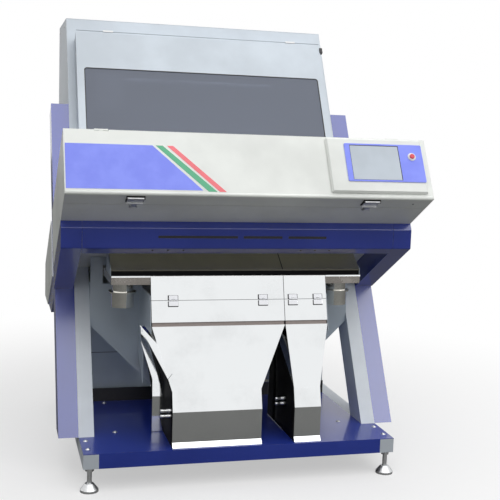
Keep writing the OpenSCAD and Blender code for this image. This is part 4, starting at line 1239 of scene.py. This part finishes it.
@dataclass
class Studio:
    """Pale floor, white surroundings, soft lamps and the camera."""

    camera_place: Triple = (-0.835, -3.770, 1.199)
    yaw: float = -15.08
    pitch: float = -6.79
    roll: float = -1.91
    focal_px: float = 947.6
    image_px: float = 500.0
    sensor: float = 36.0
    view_end: float = 60.0
    dim: float = 0.34
    floor_r: float = 40.0
    paper: tuple[Colour, Colour] = ((0.88, 0.88, 0.88), (0.91, 0.91, 0.91))
    dull: Colour = (0.19, 0.19, 0.182)
    fade: tuple[float, float] = (0.9, 2.6)
    glow: float = 0.5
    lamps: Sequence[Lamp] = (
        Lamp("top", (0.4, -1.3, 4.6), (0.4, -0.1, 0.8), (9.0, 6.0), 226.0),
        Lamp("front", (3.0, -3.4, 2.6), (0.0, 0.0, 0.9), (2.2, 2.2), 26.0),
        Lamp("back", (0.5, 3.6, 3.6), (0.0, 0.0, 1.0), (2.5, 2.5), 20.0),
    )

    def turn(self) -> Array:
        """Returns the camera's right, forward and up vectors as columns."""
        a, b, c = (math.radians(v) for v in (self.yaw, self.pitch, self.roll))
        rz = np.array([[math.cos(a), -math.sin(a), 0], [math.sin(a), math.cos(a), 0], [0, 0, 1]])
        rx = np.array([[1, 0, 0], [0, math.cos(b), -math.sin(b)], [0, math.sin(b), math.cos(b)]])
        ry = np.array([[math.cos(c), 0, math.sin(c)], [0, 1, 0], [-math.sin(c), 0, math.cos(c)]])
        return rz @ rx @ ry

    def camera(self) -> None:
        """Places the camera at the photograph's view."""
        data = bpy.data.cameras.new("camera")
        data.sensor_width = self.sensor
        data.sensor_fit = "HORIZONTAL"
        data.lens = self.focal_px / self.image_px * self.sensor
        data.clip_end = self.view_end
        right, ahead, up = self.turn().T
        eye = bpy.data.objects.new("camera", data)
        bpy.context.scene.collection.objects.link(eye)
        eye.matrix_world = pose((right, up, -ahead), self.camera_place)
        bpy.context.scene.camera = eye

    def surroundings(self) -> None:
        """White world for camera, glossy and transmitted rays, softer for the rest."""
        world = bpy.data.worlds.new("studio")
        bpy.context.scene.world = world
        world.use_nodes = True
        tree = world.node_tree
        back = tree.nodes["Background"]
        path = tree.nodes.new("ShaderNodeLightPath")
        bright = path.outputs["Is Camera Ray"]
        for ray in ("Is Glossy Ray", "Is Transmission Ray"):
            either = tree.nodes.new("ShaderNodeMath")
            either.operation = "MAXIMUM"
            tree.links.new(bright, either.inputs[0])
            tree.links.new(path.outputs[ray], either.inputs[1])
            bright = either.outputs[0]
        level = tree.nodes.new("ShaderNodeMapRange")
        level.inputs["To Min"].default_value = self.dim
        level.inputs["To Max"].default_value = 1.0
        tree.links.new(bright, level.inputs["Value"])
        tree.links.new(level.outputs[0], back.inputs["Strength"])
        back.inputs["Color"].default_value = (1.0, 1.0, 1.0, 1.0)

    def floor(self) -> None:
        """A pale round floor that fades into the white surroundings, and is dull in reflections."""
        radius = (np.linspace(0.0, 1.0, 24) ** 2 * self.floor_r)[:, None]
        angle = np.linspace(0, 2 * np.pi, 64, endpoint=False)
        ring = np.stack([radius * np.cos(angle), radius * np.sin(angle), 0 * radius * angle], -1)
        piece = grid_object("floor", ring[None, ::-1], wrap=True)
        net = Net("floor_paper")
        shade = net.blend(net.noise(30.0, 4.0), *self.paper)
        net.set(Base_Color=shade, Roughness=0.9, Specular_IOR_Level=0.1)
        far = net.node("ShaderNodeVectorMath", {"operation": "LENGTH"}, {0: net.place()}, "Value")
        reach = far.step(*self.fade) * (1.0 - self.glow) + self.glow
        white = net.node("ShaderNodeEmission", {}, {"Color": (1.0, 1.0, 1.0), "Strength": 1.0})
        paper = net.node("ShaderNodeMixShader", {}, {0: reach, 1: Val(net, net.shader.outputs[0]), 2: white})
        dull = net.node("ShaderNodeBsdfDiffuse", {}, {"Color": self.dull})
        seen = net.node("ShaderNodeLightPath", {}, {}, "Is Camera Ray")
        both = net.node("ShaderNodeMixShader", {}, {0: seen, 1: dull, 2: paper})
        net.tree.links.new(both.socket, net.tree.nodes["Material Output"].inputs["Surface"])
        piece.data.materials.append(net.material)
        piece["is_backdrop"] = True

    def build(self) -> None:
        """Sets the whole studio up."""
        self.camera()
        self.surroundings()
        self.floor()
        for lamp in self.lamps:
            lamp.build()
        bpy.context.scene.view_settings.view_transform = "Standard"


def finishes() -> dict[Slot, bpy.types.Material]:
    """Builds one finish for each slot of the record.

    Returns:
        Materials by slot.
    """
    kinds: dict[Slot, Finish] = {
        Slot.BLUE_PAINT: ENAMEL,
        Slot.GREY_PAINT: Paint("powder_grey", linear((204, 213, 222)), 0.42),
        Slot.WHITE_PAINT: Paint("powder_white", linear((236, 239, 235)), 0.40),
        Slot.DARK_PAINT: Paint("satin_slate", linear((190, 202, 212)), 0.38),
        Slot.STAINLESS: Sheet("bright_steel", (0.84, 0.86, 0.87), 0.06, (260.0, 260.0, 4.0), 0.10),
        Slot.ZINC: Plating("zinc_plate", (0.70, 0.71, 0.72)),
        Slot.GREY_PLASTIC: Moulding("cap_grey", linear((196, 204, 212))),
        Slot.BLUE_PLASTIC: Film("panel_blue", linear((122, 138, 255))),
        Slot.SCREEN: Display("screen_grey", linear((186, 197, 208))),
        Slot.WHITE_PLASTIC: Moulding("collar_white", linear((236, 236, 236)), 0.25),
        Slot.RED_PLASTIC: Moulding("button_red", linear((222, 60, 78)), 0.22),
        Slot.BLACK_PLASTIC: Moulding("black_moulding", (0.018, 0.018, 0.02), 0.42),
        Slot.CLEAR_GLASS: Pane("clear_glass", (0.82, 0.90, 0.90), 1.0),
        Slot.SMOKED_GLASS: Pane("smoked_acrylic", linear((112, 120, 138)), 0.40, 0.05),
        Slot.LAMP: Moulding("opal_cover", (0.86, 0.86, 0.82), 0.3),
        Slot.ALUMINIUM: Sheet("anodised", (0.70, 0.71, 0.72), 0.30, (4.0, 260.0, 260.0)),
    }
    return {slot: kind.build() for slot, kind in kinds.items()}


def dress(frame: dict[str, Any], shop: Workshop) -> None:
    """Gives each CAD node the finish of its slot, or a finish of its own.

    Args:
        shop: the workshop that keeps the finishes.
    """
    spun = Sheet("spun_steel", (0.86, 0.85, 0.80), 0.16, (4.0, 4.0, 300.0), 0.10)
    tall = replace(ENAMEL, name="column_enamel", coat_ior=1.80, coat_rough=0.24)
    light = Paint("powder_light", linear((224, 231, 238)), 0.40)
    special: dict[str, Finish] = {
        "base_tray": Paint("tray_enamel", linear((34, 56, 154)), 0.34, 0.6, 300.0, 0.00003, 0.04, 1.35),
        "flap_hinges": Sheet("hinge_plate", (0.76, 0.77, 0.80), 0.14, (4.0, 260.0, 260.0), 0.08),
        "dust_tray": Sheet("dull_steel", (0.74, 0.69, 0.65), 0.22, (260.0, 260.0, 4.0), 0.14),
        "apron_plates": Sheet("apron_steel", (0.62, 0.60, 0.50), 0.30, (4.0, 260.0, 260.0), 0.12),
        **dict.fromkeys(("spout_left", "spout_right"), spun),
        **dict.fromkeys(("column_left", "column_right"), tall),
        **dict.fromkeys(("post_left", "post_right", "side_rails", "cross_rails", "rear_legs"), light),
    }
    for row in frame["record"]["subparts"]:
        mesh = frame["nodes"][row["node"]].data
        mesh.materials.clear()
        mesh.materials.append(shop.material(Slot(row["material_slot"]), special.get(row["node"])))
        LOG.info("node %s in %s", row["node"], row["material_slot"])


def corners() -> list[list[float]]:
    """Returns the whole object's box as plain lists."""
    return [[float(v) for v in corner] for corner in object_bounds()]


def main() -> None:
    """Builds the studio, dresses the nodes and adds each sub-assembly's trim."""
    logging.basicConfig(level=logging.INFO, format="%(message)s")
    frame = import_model()
    Studio().build()
    shop = Workshop(finishes())
    dress(frame, shop)
    trims = (
        HeadTrim(), BeamTrim(), DoorTrim(), ChuteTrim(), ApronTrim(), FlapTrim(), HousingTrim(), BaseTrim()
    )
    for trim in trims:
        trim.build(shop)
    LOG.info("%d pieces made", len(shop.made))


if __name__ == "__main__":
    main()
